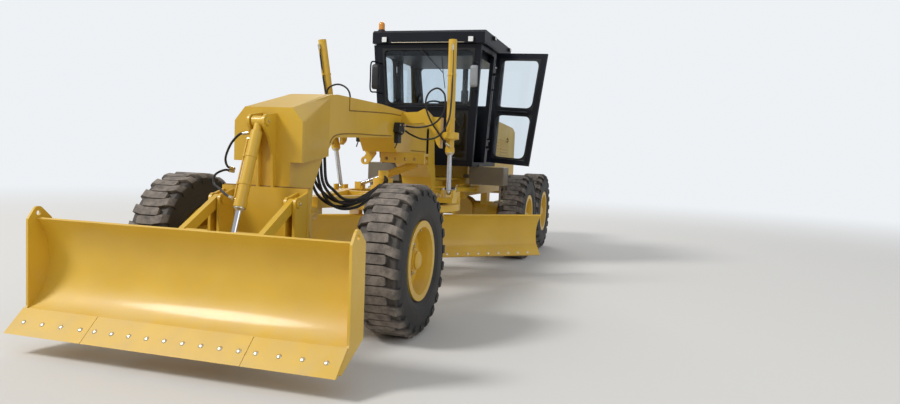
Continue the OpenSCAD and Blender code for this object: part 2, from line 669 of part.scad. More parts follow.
// Saddle over the neck with its arms, trunnion forks and the lock bar
module lift_saddle() {
    color(yellow) {
        for (side = [-1, 1]) {
            reach = side * lift_arm_x + saddle_shift;
            root = side * (neck_w / 2 + seat_gap);
            span = reach - root;
            // Wing from the neck's upper edge down to the cylinder
            front_plate([[root, neck_top - 190], [root, neck_top - 45], [root + 0.33 * span, neck_top - 35],
                [root + 0.46 * span, neck_top + 5], [root + 0.62 * span, trunnion_z + 225],
                [reach - side * 110, trunnion_z + 220], [reach - side * 110, trunnion_z - 150],
                [reach - side * 150, trunnion_z - 105], [root + 0.64 * span, trunnion_z + 70],
                [root + 0.46 * span, trunnion_z + 150]], saddle_y - 60, saddle_y + 60);
            // Socket round the cylinder's trunnion ball
            difference() {
                union() {
                    along(lift_trunnion(side), lift_ball(side)) bar_z(105, -38, 38);
                    front_plate([[reach - side * 85, trunnion_z - 36], [reach - side * 85, trunnion_z + 36],
                        [reach - side * 160, trunnion_z + 90], [reach - side * 160, trunnion_z - 90]],
                        saddle_y - 50, saddle_y + 50);
                }
                translate(lift_trunnion(side)) sphere(r = trunnion_r + pin_gap);
            }
        }
        difference() {
            front_plate([[-60, tall_low - 130], [shift_top.x + 45, tall_low - 130], [shift_top.x + 45, tall_low - seat_gap],
                [-60, tall_low - seat_gap]], saddle_y - 30, saddle_y + 30);
            for (i = [0:3]) translate([20 + i * 125, saddle_y, tall_low - 80]) bar_y(22, -40, 40);
        }
        // Bent lever under the right arm with its bored boss
        difference() {
            union() {
                front_plate([[-310, neck_top - 110], [-neck_w / 2 - seat_gap, neck_top - 100], [-neck_w / 2 - seat_gap, tall_low - seat_gap],
                    [-120, tall_low - seat_gap], [-115, tall_low - 30], [-215, tall_low - 160], [-270, tall_low - 70],
                    [-240, tall_low - 30], [-310, tall_low + 80]], saddle_y - 58, saddle_y - 18);
                translate([-258, saddle_y, tall_low - 115]) bar_y(50, -58, -18);
            }
            translate([-258, saddle_y, tall_low - 115]) bar_y(24, -60, -16);
        }
        // Ear and pin for the centre-shift cylinder
        translate([shift_top.x, 0, shift_top.z]) bar_y(18, saddle_y, shift_top.y + 50);
        block([shift_top.x - 45, shift_top.y + 38, shift_top.z - 45], [shift_top.x + 45, shift_top.y + 53, shift_top.z + 95]);
        block([shift_top.x - 45, saddle_y + 29, shift_top.z + 60], [shift_top.x + 45, shift_top.y + 53, shift_top.z + 95]);
    }
}
module dozer_bracket() {
    color(yellow) {
        block([-420, nose_y - 40, 500], [420, nose_y - seat_gap, 1280]);
        both_sides() for (x = [push_arm_x - link_t / 2 - ear_gap - ear_t, push_arm_x + link_t / 2 + ear_gap]) {
            side_plate([[nose_y - 30, link_high + 90], [link_y + 12, link_high + 52], [link_y - 54, link_high],
                [link_y - 54, link_low], [link_y + 12, link_low - 52], [nose_y - 30, link_low - 80]], x, x + ear_t);
            for (z = [link_high, link_low]) translate([0, link_y, z]) bar_x(55, x, x + ear_t);
        }
        both_sides() for (z = [link_high, link_low]) translate([0, link_y, z])
            bar_x(link_pin_r, push_arm_x - link_t / 2 - ear_gap - 5, push_arm_x + link_t / 2 + ear_gap + 5);
        // Ears for the blade's cylinder
        both_sides() {
            side_plate([[nose_y - seat_gap, 1920], [dozer_cyl_top.y + 10, dozer_cyl_top.z + 60],
                [dozer_cyl_top.y - 60, dozer_cyl_top.z], [dozer_cyl_top.y - 45, dozer_cyl_top.z - 45], [nose_y - 110, 1700],
                [nose_y - 50, 1560], [nose_y - 38, 1279], [nose_y - seat_gap, 1279]], 60, 82);
            translate([0, dozer_cyl_top.y, dozer_cyl_top.z]) bar_x(60, 60, 82);
        }
        translate([0, dozer_cyl_top.y, dozer_cyl_top.z]) bar_x(25, -65, 65);
    }
}
module link_pair(z0, z1) {
    both_sides() difference() {
        hull() {
            translate([push_arm_x, link_y, z0]) rotate([0, 90, 0]) cylinder(r = 45, h = link_t, center = true);
            translate([push_arm_x, blade_pin_y, z1]) rotate([0, 90, 0]) cylinder(r = 45, h = link_t, center = true);
        }
        for (p = [[link_y, z0], [blade_pin_y, z1]]) translate([push_arm_x, p[0], p[1]])
            rotate([0, 90, 0]) cylinder(r = link_pin_r + pin_gap, h = link_t + 2, center = true);
    }
}
module push_arms() {
    color(yellow) {
        link_pair(link_low, blade_pin_low);
        translate([0, dozer_cyl_low.y + 20, dozer_cyl_low.z - 110]) bar_x(50, -push_arm_x, push_arm_x);
        both_sides() side_plate([[dozer_cyl_low.y - 40, dozer_cyl_low.z - 100], [dozer_cyl_low.y + 70, dozer_cyl_low.z - 100],
            [dozer_cyl_low.y + 40, dozer_cyl_low.z + 40], [dozer_cyl_low.y - 40, dozer_cyl_low.z + 40]], 40, 60);
    }
}
module upper_links() {
    color(yellow) {
        link_pair(link_high, blade_pin_high);
        mid_y = (link_y + blade_pin_y) / 2 - 120;
        translate([0, mid_y, link_high - (link_y - mid_y) * tan(push_arm_slope)]) both_sides() bar_x(35, 130, push_arm_x);
    }
}
module dozer_blade() {
    inner = dozer_w / 2 - 20;
    p = [blade_top_y, dozer_top];
    q = [edge_top_y, edge_top_z];
    c = arc_mid(q, p, blade_sag);
    r = arc_r(q, p, blade_sag);
    a0 = atan2(q.y - c.y, q.x - c.x);
    a1 = atan2(p.y - c.y, p.x - c.x);
    color(yellow) {
        translate([-inner, c.x, c.y]) rotate([90, 0, 90]) rotate([0, 0, a0]) rotate_extrude(angle = a1 - a0)
            translate([r, 0]) square([dozer_t, 2 * inner]);
        dozer_plates();
    }
}
module dozer_plates() {
    inner = dozer_w / 2 - 20;
    q = [edge_top_y, edge_top_z];
    lug_y = blade_top_y + 25;
    // End plates with their round lugs
    both_sides() difference() {
        union() {
            side_plate([[edge_tip_y + 40, dozer_tip + 25], [edge_top_y + 4, edge_top_z + 14], [edge_top_y + 18, edge_top_z + 30],
                [edge_top_y + 18, dozer_top], [lug_y - 45, dozer_top + 70], [lug_y + 40, dozer_top + 76],
                [blade_top_y + 150, dozer_top], [blade_top_y + 156, edge_top_z + 23], [edge_tip_y + 85, dozer_tip]],
                inner, inner + 20);
            translate([0, lug_y, dozer_top + 43]) bar_x(52, inner, inner + 20);
        }
        translate([0, lug_y, dozer_top + 43]) bar_x(20, inner - 1, inner + 21);
    }
    // Cutting edge in three lengths
    for (part = [[-inner - 18, -660], [-655, 655], [660, inner + 18]])
        side_plate([[edge_tip_y, dozer_tip], [q.x - 6, q.y + 20], [q.x + 14, q.y + 8], [edge_tip_y + 22, dozer_tip - 2]],
            part[0], part[1]);
    // Stiffeners and the ears at the back
    block([-inner, -1530, 330], [inner, -1400, 400]);
    block([-inner, -1482, 900], [inner, -1400, 970]);
    both_sides() {
        block([push_arm_x - 90, -1424, blade_pin_low - 70], [push_arm_x + 90, -1385, blade_pin_high + 100]);
        for (x = [push_arm_x - link_t / 2 - ear_gap - ear_t, push_arm_x + link_t / 2 + ear_gap], z = [blade_pin_low, blade_pin_high])
            side_plate([[-1400, z - 70], [blade_pin_y + 20, z - 45], [blade_pin_y + 45, z], [blade_pin_y + 20, z + 45],
                [-1400, z + 80]], x, x + ear_t);
        for (z = [blade_pin_low, blade_pin_high]) translate([0, blade_pin_y, z])
            bar_x(link_pin_r, push_arm_x - link_t / 2 - ear_gap - 5, push_arm_x + link_t / 2 + ear_gap + 5);
    }
}

// Cylinder barrel with its bore, from one height to another along Z
module barrel(d, rod_d, low, high, bore_low) {
    difference() {
        union() {
            bar_z(d / 2, low, high);
            bar_z(d / 2 + 6, high - 60, high);
        }
        bar_z(rod_d / 2 + pin_gap, bore_low, high + 1);
    }
}
module eye(r, t) { rotate([90, 0, 0]) cylinder(r = r, h = t, center = true); }
module dozer_tube() {
    color(yellow) along(dozer_cyl_top, dozer_cyl_low) difference() {
        union() {
            barrel(96, dozer_rod_d, 95, 763, 150);
            eye(45, 100);
            bar_z(35, 0, 100);
        }
        rotate([90, 0, 0]) cylinder(r = 25 + pin_gap, h = 110, center = true);
    }
}
module dozer_rod() {
    color(chrome) along(dozer_cyl_top, dozer_cyl_low) {
        bar_z(dozer_rod_d / 2, 620, dozer_len - 30);
        translate([0, 0, dozer_len]) eye(40, 60);
    }
}

module in_drawbar() { translate([0, ball_y, 0]) rotate([0, 0, -drawbar_yaw]) children(); }
module in_circle() {
    in_drawbar() translate([0, circle_reach, 0]) rotate([0, 0, board_yaw + drawbar_yaw]) children();
}
module drawbar() {
    color(yellow) in_drawbar() {
        translate([0, 0, ball_z]) difference() {
            bar_y(72, -42, 70);
            sphere(r = 40 + pin_gap);
            bar_y(34, -43, 0);
        }
        both_sides() plan_plate([[0, 60], [60, 60], [600, 1770], [600, 1970], [480, 1970], [480, 1810], [0, 230]],
            bar_low, bar_high - 10);
        block([-60, 50, ball_z - 20], [60, 150, bar_low + 20]);
        block([-600, 1540, bar_low], [600, 1660, bar_high - 20]);
        block([-600, 2670, bar_low], [600, 2790, bar_high - 20]);
        both_sides() block([480, 1900, bar_low], [600, 2790, bar_high - 20]);
        // Cross member to the lift balls
        block([-lift_ball_x - 80, cross_y - 90, bar_low], [lift_ball_x + 80, cross_y + 90, bar_high - 60]);
        both_sides() for (x = [-78, 53])
            block([lift_ball_x + x, cross_y - 50, bar_high - 61], [lift_ball_x + x + 25, cross_y + 50, ball_top + 30]);
        for (y = [-70, 55]) block([shift_local.x - 40, shift_local.y + y, bar_high - 61],
            [shift_local.x + 40, shift_local.y + y + 15, shift_local.z + 30]);
        block([shift_local.x - 40, shift_local.y - 70, bar_low + 20], [shift_local.x + 40, shift_local.y + 70, bar_high - 60]);
        // Shoes that carry the circle
        for (a = [45, 135, 225, 315]) translate([0, circle_reach, 0]) rotate([0, 0, a]) {
            block([circle_out + 3, -80, circle_z - 30], [circle_out + 45, 80, bar_low + 30]);
            block([circle_out - 30, -80, circle_z - 30], [circle_out + 45, 80, circle_z - seat_gap]);
            block([circle_out - 160, -60, bar_low], [circle_out + 45, 60, bar_low + 30]);
        }
        // Circle drive
        translate([0, circle_reach - circle_in + 90, 0]) {
            bar_z(65, circle_z + 45, bar_low + 10);
            bar_z(120, bar_low - 5, bar_high + 150);
            bar_z(150, bar_high - 35, bar_high + 60);
            bar_z(60, bar_high + 140, bar_high + 240);
        }
        block([-150, 1320, bar_low], [150, 1800, bar_high - 30]);
    }
}
module circle() {
    color(yellow) in_circle() {
        difference() {
            bar_z(circle_out, circle_z, circle_z + circle_t);
            bar_z(circle_in, circle_z - 1, circle_z + circle_t + 1);
        }
        both_sides() difference() {
            side_plate([[-60, circle_z + 10], [arm_rear, circle_z + 10], [arm_rear - 70, 640], [90, 380], [-20, 380], [-20, 640]],
                arm_x, arm_x + arm_t);
            for (z = [430, 700]) block([arm_x - 1, -110, z], [arm_x + arm_t + 1, 40, z + 60]);
            translate([0, side_y, side_z]) bar_x(40 + seat_gap, arm_x - 1, arm_x + arm_t + 1);
        }
        block([-arm_x - 10, arm_rear - 70, circle_z + 5], [arm_x + 10, arm_rear - 10, circle_z + 40]);
    }
}
module moldboard() {
    c = board_mid;
    a0 = atan2(board_low.y - c.y, board_low.x - c.x);
    a1 = atan2(board_high.y - c.y, board_high.x - c.x);
    color(yellow) in_circle() translate([board_shift, 0, 0]) {
        translate([-board_len / 2, c.x, c.y]) rotate([90, 0, 90]) rotate([0, 0, a0]) rotate_extrude(angle = a1 - a0)
            translate([board_r, 0]) square([board_t, board_len]);
        translate([-board_len / 2, c.x, c.y]) rotate([90, 0, 90]) rotate([0, 0, a0])
            translate([board_r - 20, -74, 0]) cube([23, 154, board_len]);
        // Rails in the arms
        for (z = [430, 700]) block([-1350, board_back(z + 30), z + 3], [1350, 30, z + 57]);
        for (x = [-1330, 1250]) side_plate([[20, 420], [20, 780], [board_back(780), 780], [board_back(690), 690],
            [board_back(600), 600], [board_back(510), 510], [board_back(420), 420]], x, x + 80);
        block([1250, 10, side_z - 60], [1290, side_y + 50, side_z + 60]);
    }
}
module side_shift_tube() {
    color(yellow) in_circle() translate([0, side_y, side_z]) rotate([0, 90, 0]) difference() {
        bar_z(40, -arm_x - 60, arm_x + 70);
        bar_z(22.5 + pin_gap, -arm_x - 30, arm_x + 71);
    }
}
module side_shift_rod() {
    color(chrome) in_circle() translate([0, side_y, side_z]) bar_x(22.5, 50, 1250 + board_shift - seat_gap);
}

// Lift cylinders: trunnion, ball and the line between them
function lift_trunnion(side) = [side * lift_arm_x + saddle_shift, saddle_y, trunnion_z];
function in_drawbar_point(p) = [p.x * cos(drawbar_yaw) + p.y * sin(drawbar_yaw),
    ball_y - p.x * sin(drawbar_yaw) + p.y * cos(drawbar_yaw), p.z];
function lift_ball(side) = in_drawbar_point([side * lift_ball_x, cross_y, ball_top]);
module lift_tube(side) {
    color(yellow) along(lift_trunnion(side), lift_ball(side)) difference() {
        union() {
            bar_z(lift_tube_d / 2, -1170, 200);
            bar_z(lift_tube_d / 2 + 6, 140, 200);
            sphere(r = trunnion_r);
        }
        bar_z(lift_rod_d / 2 + pin_gap, -800, 201);
    }
}
module lift_rod(side) {
    reach = norm(lift_ball(side) - lift_trunnion(side));
    color(chrome) along(lift_trunnion(side), lift_ball(side)) {
        bar_z(lift_rod_d / 2, -400, reach - 20);
        translate([0, 0, reach]) sphere(r = 32);
    }
}
module lift_tube_left() { lift_tube(1); }
module lift_rod_left() { lift_rod(1); }
module lift_tube_right() { lift_tube(-1); }
module lift_rod_right() { lift_rod(-1); }

module centre_shift_tube() {
    color(yellow) along(shift_top, shift_low) difference() {
        union() {
            barrel(90, 50, 90, 520, 150);
            eye(40, 40);
            bar_z(18, 0, 95);
        }
        rotate([90, 0, 0]) cylinder(r = 18 + 2 * pin_gap, h = 80, center = true);
    }
}
module centre_shift_rod() {
    color(chrome) along(shift_top, shift_low) {
        bar_z(25, 300, shift_len - 20);
        translate([0, 0, shift_len]) sphere(r = 35);
    }
}
function turn_end(side) = [side * turn_tube_x, turn_tube_y, turn_z];
function turn_eye(side) = [side * turn_rod_x, turn_rod_y, turn_z];
module turn_tube(side) {
    color(yellow) along(turn_end(side), turn_eye(side)) difference() {
        union() {
            barrel(90, 50, 90, 640, 150);
            rotate([0, 0, 90]) eye(40, 40);
            bar_z(20, 0, 95);
        }
        rotate([0, 90, 0]) cylinder(r = 20 + pin_gap, h = 60, center = true);
    }
}
module turn_rod(side) {
    color(chrome) along(turn_end(side), turn_eye(side)) {
        bar_z(25, 420, turn_len - 20);
        translate([0, 0, turn_len]) rotate([0, 0, 90]) eye(35, 54);
    }
}
module turn_tube_left() { turn_tube(1); }
module turn_rod_left() { turn_rod(1); }
module turn_tube_right() { turn_tube(-1); }
module turn_rod_right() { turn_rod(-1); }

at_origin() rear_frame();
at_origin() rear_axle();
at_origin() hood();
at_origin() grille();
at_origin() engine();
at_origin() exhaust();
at_origin() cab_frame();
at_origin() cab_roof();
at_origin() cab_glass();
at_origin() cab_seat();
at_origin() cab_console();
at_origin() cab_mirrors();
at_origin() cab_lamps();
at_origin() steps_tanks();
at_origin() front_frame();
at_origin() front_axle();
at_origin() lift_saddle();
at_origin() dozer_bracket();
at_origin() knuckle_left();
at_origin() knuckle_right();
at_origin() tie_rod();
at_origin() wheel_at(1, 0) tyre();  // tyre_front_left
at_origin() wheel_at(1, 0) rim();  // rim_front_left
at_origin() wheel_at(-1, 0) tyre();  // tyre_front_right
at_origin() wheel_at(-1, 0) rim();  // rim_front_right
at_origin() wheel_at(1, tandem_y[0]) tyre();  // tyre_middle_left
at_origin() wheel_at(1, tandem_y[0]) rim();  // rim_middle_left
at_origin() wheel_at(-1, tandem_y[0]) tyre();  // tyre_middle_right
at_origin() wheel_at(-1, tandem_y[0]) rim();  // rim_middle_right
at_origin() wheel_at(1, tandem_y[1]) tyre();  // tyre_rear_left
at_origin() wheel_at(1, tandem_y[1]) rim();  // rim_rear_left
at_origin() wheel_at(-1, tandem_y[1]) tyre();  // tyre_rear_right
at_origin() wheel_at(-1, tandem_y[1]) rim();  // rim_rear_right
at_origin() drawbar();
at_origin() circle();
at_origin() moldboard();
at_origin() side_shift_tube();
at_origin() side_shift_rod();
at_origin() lift_tube_left();
at_origin() lift_rod_left();
at_origin() lift_tube_right();
at_origin() lift_rod_right();
at_origin() centre_shift_tube();
at_origin() centre_shift_rod();
at_origin() turn_tube_left();
at_origin() turn_rod_left();
at_origin() turn_tube_right();
at_origin() turn_rod_right();
at_origin() push_arms();
at_origin() upper_links();
at_origin() dozer_blade();
at_origin() dozer_tube();
at_origin() dozer_rod();
at_origin() door_left();
at_origin() door_left_glass();
at_origin() door_right();
at_origin() door_right_glass();
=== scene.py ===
# Motor grader with a front dozer blade: finishes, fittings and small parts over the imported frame
import bpy, bmesh, math
import numpy as np
from mathutils import Matrix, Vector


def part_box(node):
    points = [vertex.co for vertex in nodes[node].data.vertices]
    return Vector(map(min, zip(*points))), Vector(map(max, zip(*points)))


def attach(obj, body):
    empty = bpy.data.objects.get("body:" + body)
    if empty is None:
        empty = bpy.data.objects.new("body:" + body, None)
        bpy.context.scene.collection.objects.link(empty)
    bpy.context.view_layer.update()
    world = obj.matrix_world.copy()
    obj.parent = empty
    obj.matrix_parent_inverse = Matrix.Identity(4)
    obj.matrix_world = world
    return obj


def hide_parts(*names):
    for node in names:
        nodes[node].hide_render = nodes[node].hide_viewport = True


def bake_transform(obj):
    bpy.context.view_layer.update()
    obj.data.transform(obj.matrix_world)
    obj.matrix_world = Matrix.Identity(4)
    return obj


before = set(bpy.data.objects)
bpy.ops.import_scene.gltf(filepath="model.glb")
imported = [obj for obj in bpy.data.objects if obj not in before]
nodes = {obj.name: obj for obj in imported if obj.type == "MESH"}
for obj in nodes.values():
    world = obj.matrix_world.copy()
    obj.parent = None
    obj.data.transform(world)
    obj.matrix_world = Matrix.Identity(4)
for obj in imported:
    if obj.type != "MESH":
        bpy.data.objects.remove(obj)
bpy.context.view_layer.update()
print("frame loaded")

# Places that the pieces share, in metres, read off the solids
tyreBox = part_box("tyre_front_left")
wheelRadius = (tyreBox[1][2] - tyreBox[0][2]) / 2
rimBoxes = {key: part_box("rim_%s_left" % key) for key in ("front", "middle", "rear")}
axleY = {key: (box[0][1] + box[1][1]) / 2 for key, box in rimBoxes.items()}
middleX = (rimBoxes["front"][1][0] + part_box("rim_front_right")[0][0]) / 2


def toRow(points):
    # a point measured from the machine's middle line and front axle, brought to the shared frame
    return np.asarray(points, float) + np.array([middleX, axleY["front"], 0.0])


def place3d(item, right, up, back, place):
    # columns are the item's right, up and back, and its place
    bpy.context.scene.collection.objects.link(item)
    item.matrix_world = Matrix([[right[i], up[i], back[i], place[i]] for i in range(3)] + [[0, 0, 0, 1]])


# Camera at the photograph's place: angles in degrees, focal length and picture width in pixels, sensor in mm
cameraSetup = {"place": (3.235, -5.792, 1.607), "yaw": 16.36, "pitch": 3.76, "roll": 2.285,
    "focal": 694.4, "width": 900, "sensor": 36, "farthest": 200}


def makeCamera(setup):
    # yaw about Z, then pitch down, then roll about the view line
    yaw, pitch, roll = (math.radians(setup[k]) for k in ("yaw", "pitch", "roll"))
    forward = np.array([-math.sin(yaw) * math.cos(pitch), math.cos(yaw) * math.cos(pitch), -math.sin(pitch)])
    level = np.array([math.cos(yaw), math.sin(yaw), 0.0])
    above = np.cross(level, forward)
    right = level * math.cos(roll) + above * math.sin(roll)
    up = above * math.cos(roll) - level * math.sin(roll)
    data = bpy.data.cameras.new("camera")
    data.sensor_width, data.clip_end = setup["sensor"], setup["farthest"]
    data.lens = setup["focal"] / setup["width"] * setup["sensor"]
    camera = bpy.data.objects.new("camera", data)
    place3d(camera, right, up, -forward, toRow(setup["place"]))
    bpy.context.scene.camera = camera


makeCamera(cameraSetup)

# Round soft boxes: place, what they face, width, watts and tint
lampTable = {
    "keyLamp": ((-20.5, -20.5, 27.5), (0, -0.5, 0.8), 10.0, 9000, (1.0, 0.985, 0.96)),
    "fillLamp": ((24.0, -16.0, 14.0), (0, 0, 1.0), 18.0, 1100, (0.94, 0.97, 1.0)),
    "backLamp": ((-8.0, 28.0, 18.0), (0, 0, 1.5), 16.0, 2800, (1.0, 1.0, 1.0))}


def makeLamp(name, place, target, size, power, tint):
    data = bpy.data.lights.new(name, "AREA")
    data.shape, data.size, data.energy, data.color = "DISK", size, power, tint
    back = np.array(place, float) - np.array(target, float)
    back /= np.linalg.norm(back)
    side = np.cross([0, 0, 1], back)
    side /= np.linalg.norm(side)
    place3d(bpy.data.objects.new(name, data), side, np.cross(back, side), back, place)


for lampName, lampRow in lampTable.items():
    makeLamp(lampName, *lampRow)


# Materials
def linear(code):
    # an sRGB hex value turned to the linear colour that the shader takes
    part = [int(code[i:i + 2], 16) / 255 for i in (1, 3, 5)]
    return tuple(c / 12.92 if c <= 0.04045 else ((c + 0.055) / 1.055) ** 2.4 for c in part) + (1.0,)


def connect(tree, link, node, socket):
    # a link is a node, for its first output, or a node and one of its outputs
    source, output = link if isinstance(link, tuple) else (link, 0)
    tree.links.new(source.outputs[output], node.inputs[socket])


def addNode(tree, kind, settings=None, links=None):
    # one node: settings are attributes or input values, and links are from other nodes by input
    node = tree.nodes.new(kind)
    for key, value in (settings or {}).items():
        if isinstance(key, str) and hasattr(node, key):
            setattr(node, key, value)
        else:
            node.inputs[key].default_value = value
    for key, link in (links or {}).items():
        connect(tree, link, node, key)
    return node


def newMaterial(name, constants):
    # nodes that every material starts with; the constants go on the shader's own sockets
    material = bpy.data.materials.new(name)
    material.use_nodes = True
    tree = material.node_tree
    tree.nodes.clear()
    output = addNode(tree, "ShaderNodeOutputMaterial")
    shader = addNode(tree, "ShaderNodeBsdfPrincipled", constants)
    connect(tree, shader, output, "Surface")
    return material, tree, shader, (addNode(tree, "ShaderNodeTexCoord"), "Object")


def noiseAt(tree, place, grain, detail=3.0, rough=0.5):
    # noise whose blotches are about grain metres across
    return addNode(tree, "ShaderNodeTexNoise", {"Scale": 1.0 / grain, "Detail": detail, "Roughness": rough},
        {"Vector": place})


def spread(tree, link, low, high, toLow=0.0, toHigh=1.0):
    # low to high becomes toLow to toHigh
    limits = {"From Min": low, "From Max": high, "To Min": toLow, "To Max": toHigh}
    return addNode(tree, "ShaderNodeMapRange", limits, {"Value": link})


def maths(tree, operation, first, second, clamp=False):
    return addNode(tree, "ShaderNodeMath", {"operation": operation, "use_clamp": clamp}, {0: first, 1: second})


def vectorMaths(tree, operation, link, constant=None):
    return addNode(tree, "ShaderNodeVectorMath", {"operation": operation, **({1: constant} if constant else {})},
        {0: link})


def blendColours(tree, factor, first, second):
    # sockets 6 and 7 are the two colours, each a hex value or a link, and socket 2 is the outcome
    mix = addNode(tree, "ShaderNodeMix", {"data_type": "RGBA"}, {0: factor})
    for socket, value in ((6, first), (7, second)):
        if isinstance(value, str):
            mix.inputs[socket].default_value = linear(value)
        else:
            connect(tree, value, mix, socket)
    return mix, 2


def shadeBlend(tree, place, grain, colour, shade):
    # slow blotches between two near shades
    return blendColours(tree, spread(tree, noiseAt(tree, place, grain), 0.35, 0.65), colour, shade)


def addGrain(tree, place, shader, grain, detail, strength, distance):
    # fine relief of the surface, as bump
    height = noiseAt(tree, place, grain, detail)
    connect(tree, addNode(tree, "ShaderNodeBump", {"Strength": strength, "Distance": distance}, {"Height": height}),
        shader, "Normal")


# orange peel is really 2 mm across: drawn at 12 mm so that it shows; splash fades out between the two heights
paintWork = {"peel": 0.012, "peelStrength": 0.06, "peelDepth": 0.002, "splashFrom": 0.15, "splashTo": 0.9,
    "dustyRough": 0.75, "coatRough": 0.12}


def paintMaterial(name, colour, shade, shadeGrain, dust, dustGrain, dustAmount, splashAmount, rough, coat,
    ior=1.5):
    # sprayed enamel over steel: orange peel from the gun, slow change of shade, dust on what faces up and low down
    constants = {"IOR": ior, "Coat Weight": coat, "Coat Roughness": paintWork["coatRough"]}
    material, tree, shader, place = newMaterial(name, constants)
    base = shadeBlend(tree, place, shadeGrain, colour, shade)
    facing = addNode(tree, "ShaderNodeSeparateXYZ",
        links={"Vector": (addNode(tree, "ShaderNodeNewGeometry"), "Normal")})
    upward = spread(tree, (facing, "Z"), 0.5, 1.0, 0.0, dustAmount)
    patches = spread(tree, noiseAt(tree, place, dustGrain, 6.0, 0.65), 0.38, 0.68)
    height = addNode(tree, "ShaderNodeSeparateXYZ", links={"Vector": place})
    splash = spread(tree, (height, "Z"), paintWork["splashFrom"], paintWork["splashTo"], splashAmount, 0.0)
    settled, thrown = (maths(tree, "MULTIPLY", amount, patches) for amount in (upward, splash))
    dusted = maths(tree, "ADD", settled, thrown, clamp=True)
    connect(tree, blendColours(tree, dusted, base, dust), shader, "Base Color")
    connect(tree, spread(tree, dusted, 0.0, 1.0, rough, paintWork["dustyRough"]), shader, "Roughness")
    addGrain(tree, place, shader, paintWork["peel"], 2.0, paintWork["peelStrength"], paintWork["peelDepth"])
    return material


# frame and tools: semi-gloss yellow that the light runs over softly
enamelYellow = paintMaterial("enamelYellow", "#DDB335", "#D4A92D", 0.6, "#C9B48A",
    dustGrain=0.22, dustAmount=0.3, splashAmount=0.22, rough=0.42, coat=0.2)
# the same paint over weld beads, made darker and browner: painted shade along the seams
weldPaintedShadeEnamel = paintMaterial("enamelOverWeldsPaintedShade", "#9A7526", "#86641F", 0.1, "#6E6048",
    dustGrain=0.08, dustAmount=0.4, splashAmount=0.3, rough=0.55, coat=0.0)
# cab and doors: near black with a cold cast
cabEnamel = paintMaterial("enamelBlueBlack", "#0C0F18", "#10141F", 0.5, "#5B564E",
    dustGrain=0.25, dustAmount=0.05, splashAmount=0.0, rough=0.42, coat=0.05, ior=1.33)
# tanks and steps: flat warm grey that shows dust
tankEnamel = paintMaterial("enamelStoneGrey", "#756B58", "#695F4D", 0.4, "#A4977C",
    dustGrain=0.2, dustAmount=0.4, splashAmount=0.3, rough=0.45, coat=0.2)
# engine block: dull grey with settled dust
engineEnamel = paintMaterial("enamelEngineGrey", "#4A4C4E", "#3F4143", 0.3, "#6A6458",
    dustGrain=0.15, dustAmount=0.4, splashAmount=0.0, rough=0.5, coat=0.1)

tyreSetup = {"rubber": "#211F1E", "faded": "#2B2826", "dust": "#8D8379", "shoulder": 0.052, "crown": 0.006,
    "grain": 0.006}


def tyreMaterial(name, centreY, setup):
    # moulded rubber: black-brown sides, dust that the ground leaves on the lugs' tops and shoulders, found by radius
    material, tree, shader, place = newMaterial(name, {"IOR": 1.52})
    offset = vectorMaths(tree, "SUBTRACT", place, (0, centreY, wheelRadius))
    radius = vectorMaths(tree, "LENGTH", vectorMaths(tree, "MULTIPLY", offset, (0, 1, 1)))
    worn = spread(tree, (radius, "Value"), wheelRadius - setup["shoulder"], wheelRadius - setup["crown"])
    patches = spread(tree, noiseAt(tree, place, 0.07, 6.0, 0.65), 0.3, 0.62, 0.25, 1.0)
    dusted = maths(tree, "MULTIPLY", worn, patches)
    rubber = shadeBlend(tree, place, 0.3, setup["rubber"], setup["faded"])
    connect(tree, blendColours(tree, dusted, rubber, setup["dust"]), shader, "Base Color")
    connect(tree, spread(tree, dusted, 0.0, 1.0, 0.62, 0.92), shader, "Roughness")
    addGrain(tree, place, shader, setup["grain"], 3.0, 0.25, 0.002)
    return material


tyreRubber = {key: tyreMaterial("mouldedRubber_" + key, y, tyreSetup) for key, y in axleY.items()}


def plainMaterial(name, colour, shade, rough, metal=0.0, coat=0.0, blotch=0.15, grain=0.003, bump=0.1):
    # one shade with a slow blotch and a fine grain, for small parts
    constants = {"Metallic": metal, "Roughness": rough, "Coat Weight": coat}
    material, tree, shader, place = newMaterial(name, constants)
    connect(tree, shadeBlend(tree, place, blotch, colour, shade), shader, "Base Color")
    addGrain(tree, place, shader, grain, 3.0, bump, 0.001)
    return material


# hard chrome ground smooth: bright with faint marks round the rod
chromeRod = plainMaterial("hardChromeGround", "#DDDEE0", "#CFD0D3", 0.14, metal=1.0, grain=0.002,
    bump=0.03)
# zinc-plated steel of bolts and fittings, slightly yellow and dull
zincSteel = plainMaterial("zincPlatedSteel", "#D9CFB4", "#C9C1AC", 0.34, metal=0.9, blotch=0.02)
# extruded hose rubber with a wrapped-cloth grain
hoseRubber = plainMaterial("wrappedHoseRubber", "#151515", "#1D1C1B", 0.48, grain=0.004, bump=0.3)
# moulded ABS with a leather-like grain, on mirrors, console and lamps
blackPlastic = plainMaterial("mouldedBlackPlastic", "#17181A", "#1E1F21", 0.5, grain=0.004, bump=0.25)
# woven polyester over foam on the seat
seatCloth = plainMaterial("wovenSeatCloth", "#26282C", "#303338", 0.9, grain=0.004, bump=0.6)
# steel that heat and oil have blackened, on the exhaust and the circle's teeth
blackSteel = plainMaterial("heatBlackenedSteel", "#1C1B1A", "#2A2624", 0.55, metal=0.2, grain=0.01,
    bump=0.2)
# lamps' moulded lenses: amber, clear with prisms, and red
amberLens = plainMaterial("mouldedAmberLens", "#DE8A1C", "#E89A30", 0.2, coat=0.5, bump=0.02)
clearLens = plainMaterial("prismaticLampLens", "#E4E6E6", "#F2F3F3", 0.15, coat=0.6, grain=0.01, bump=0.3)
redLens = plainMaterial("mouldedRedLens", "#8E1512", "#A31C17", 0.2, coat=0.5, bump=0.02)
# extruded EPDM round the panes: matt and black
sealRubber = plainMaterial("extrudedSealRubber", "#0E0F11", "#151618", 0.6, grain=0.004, bump=0.15)
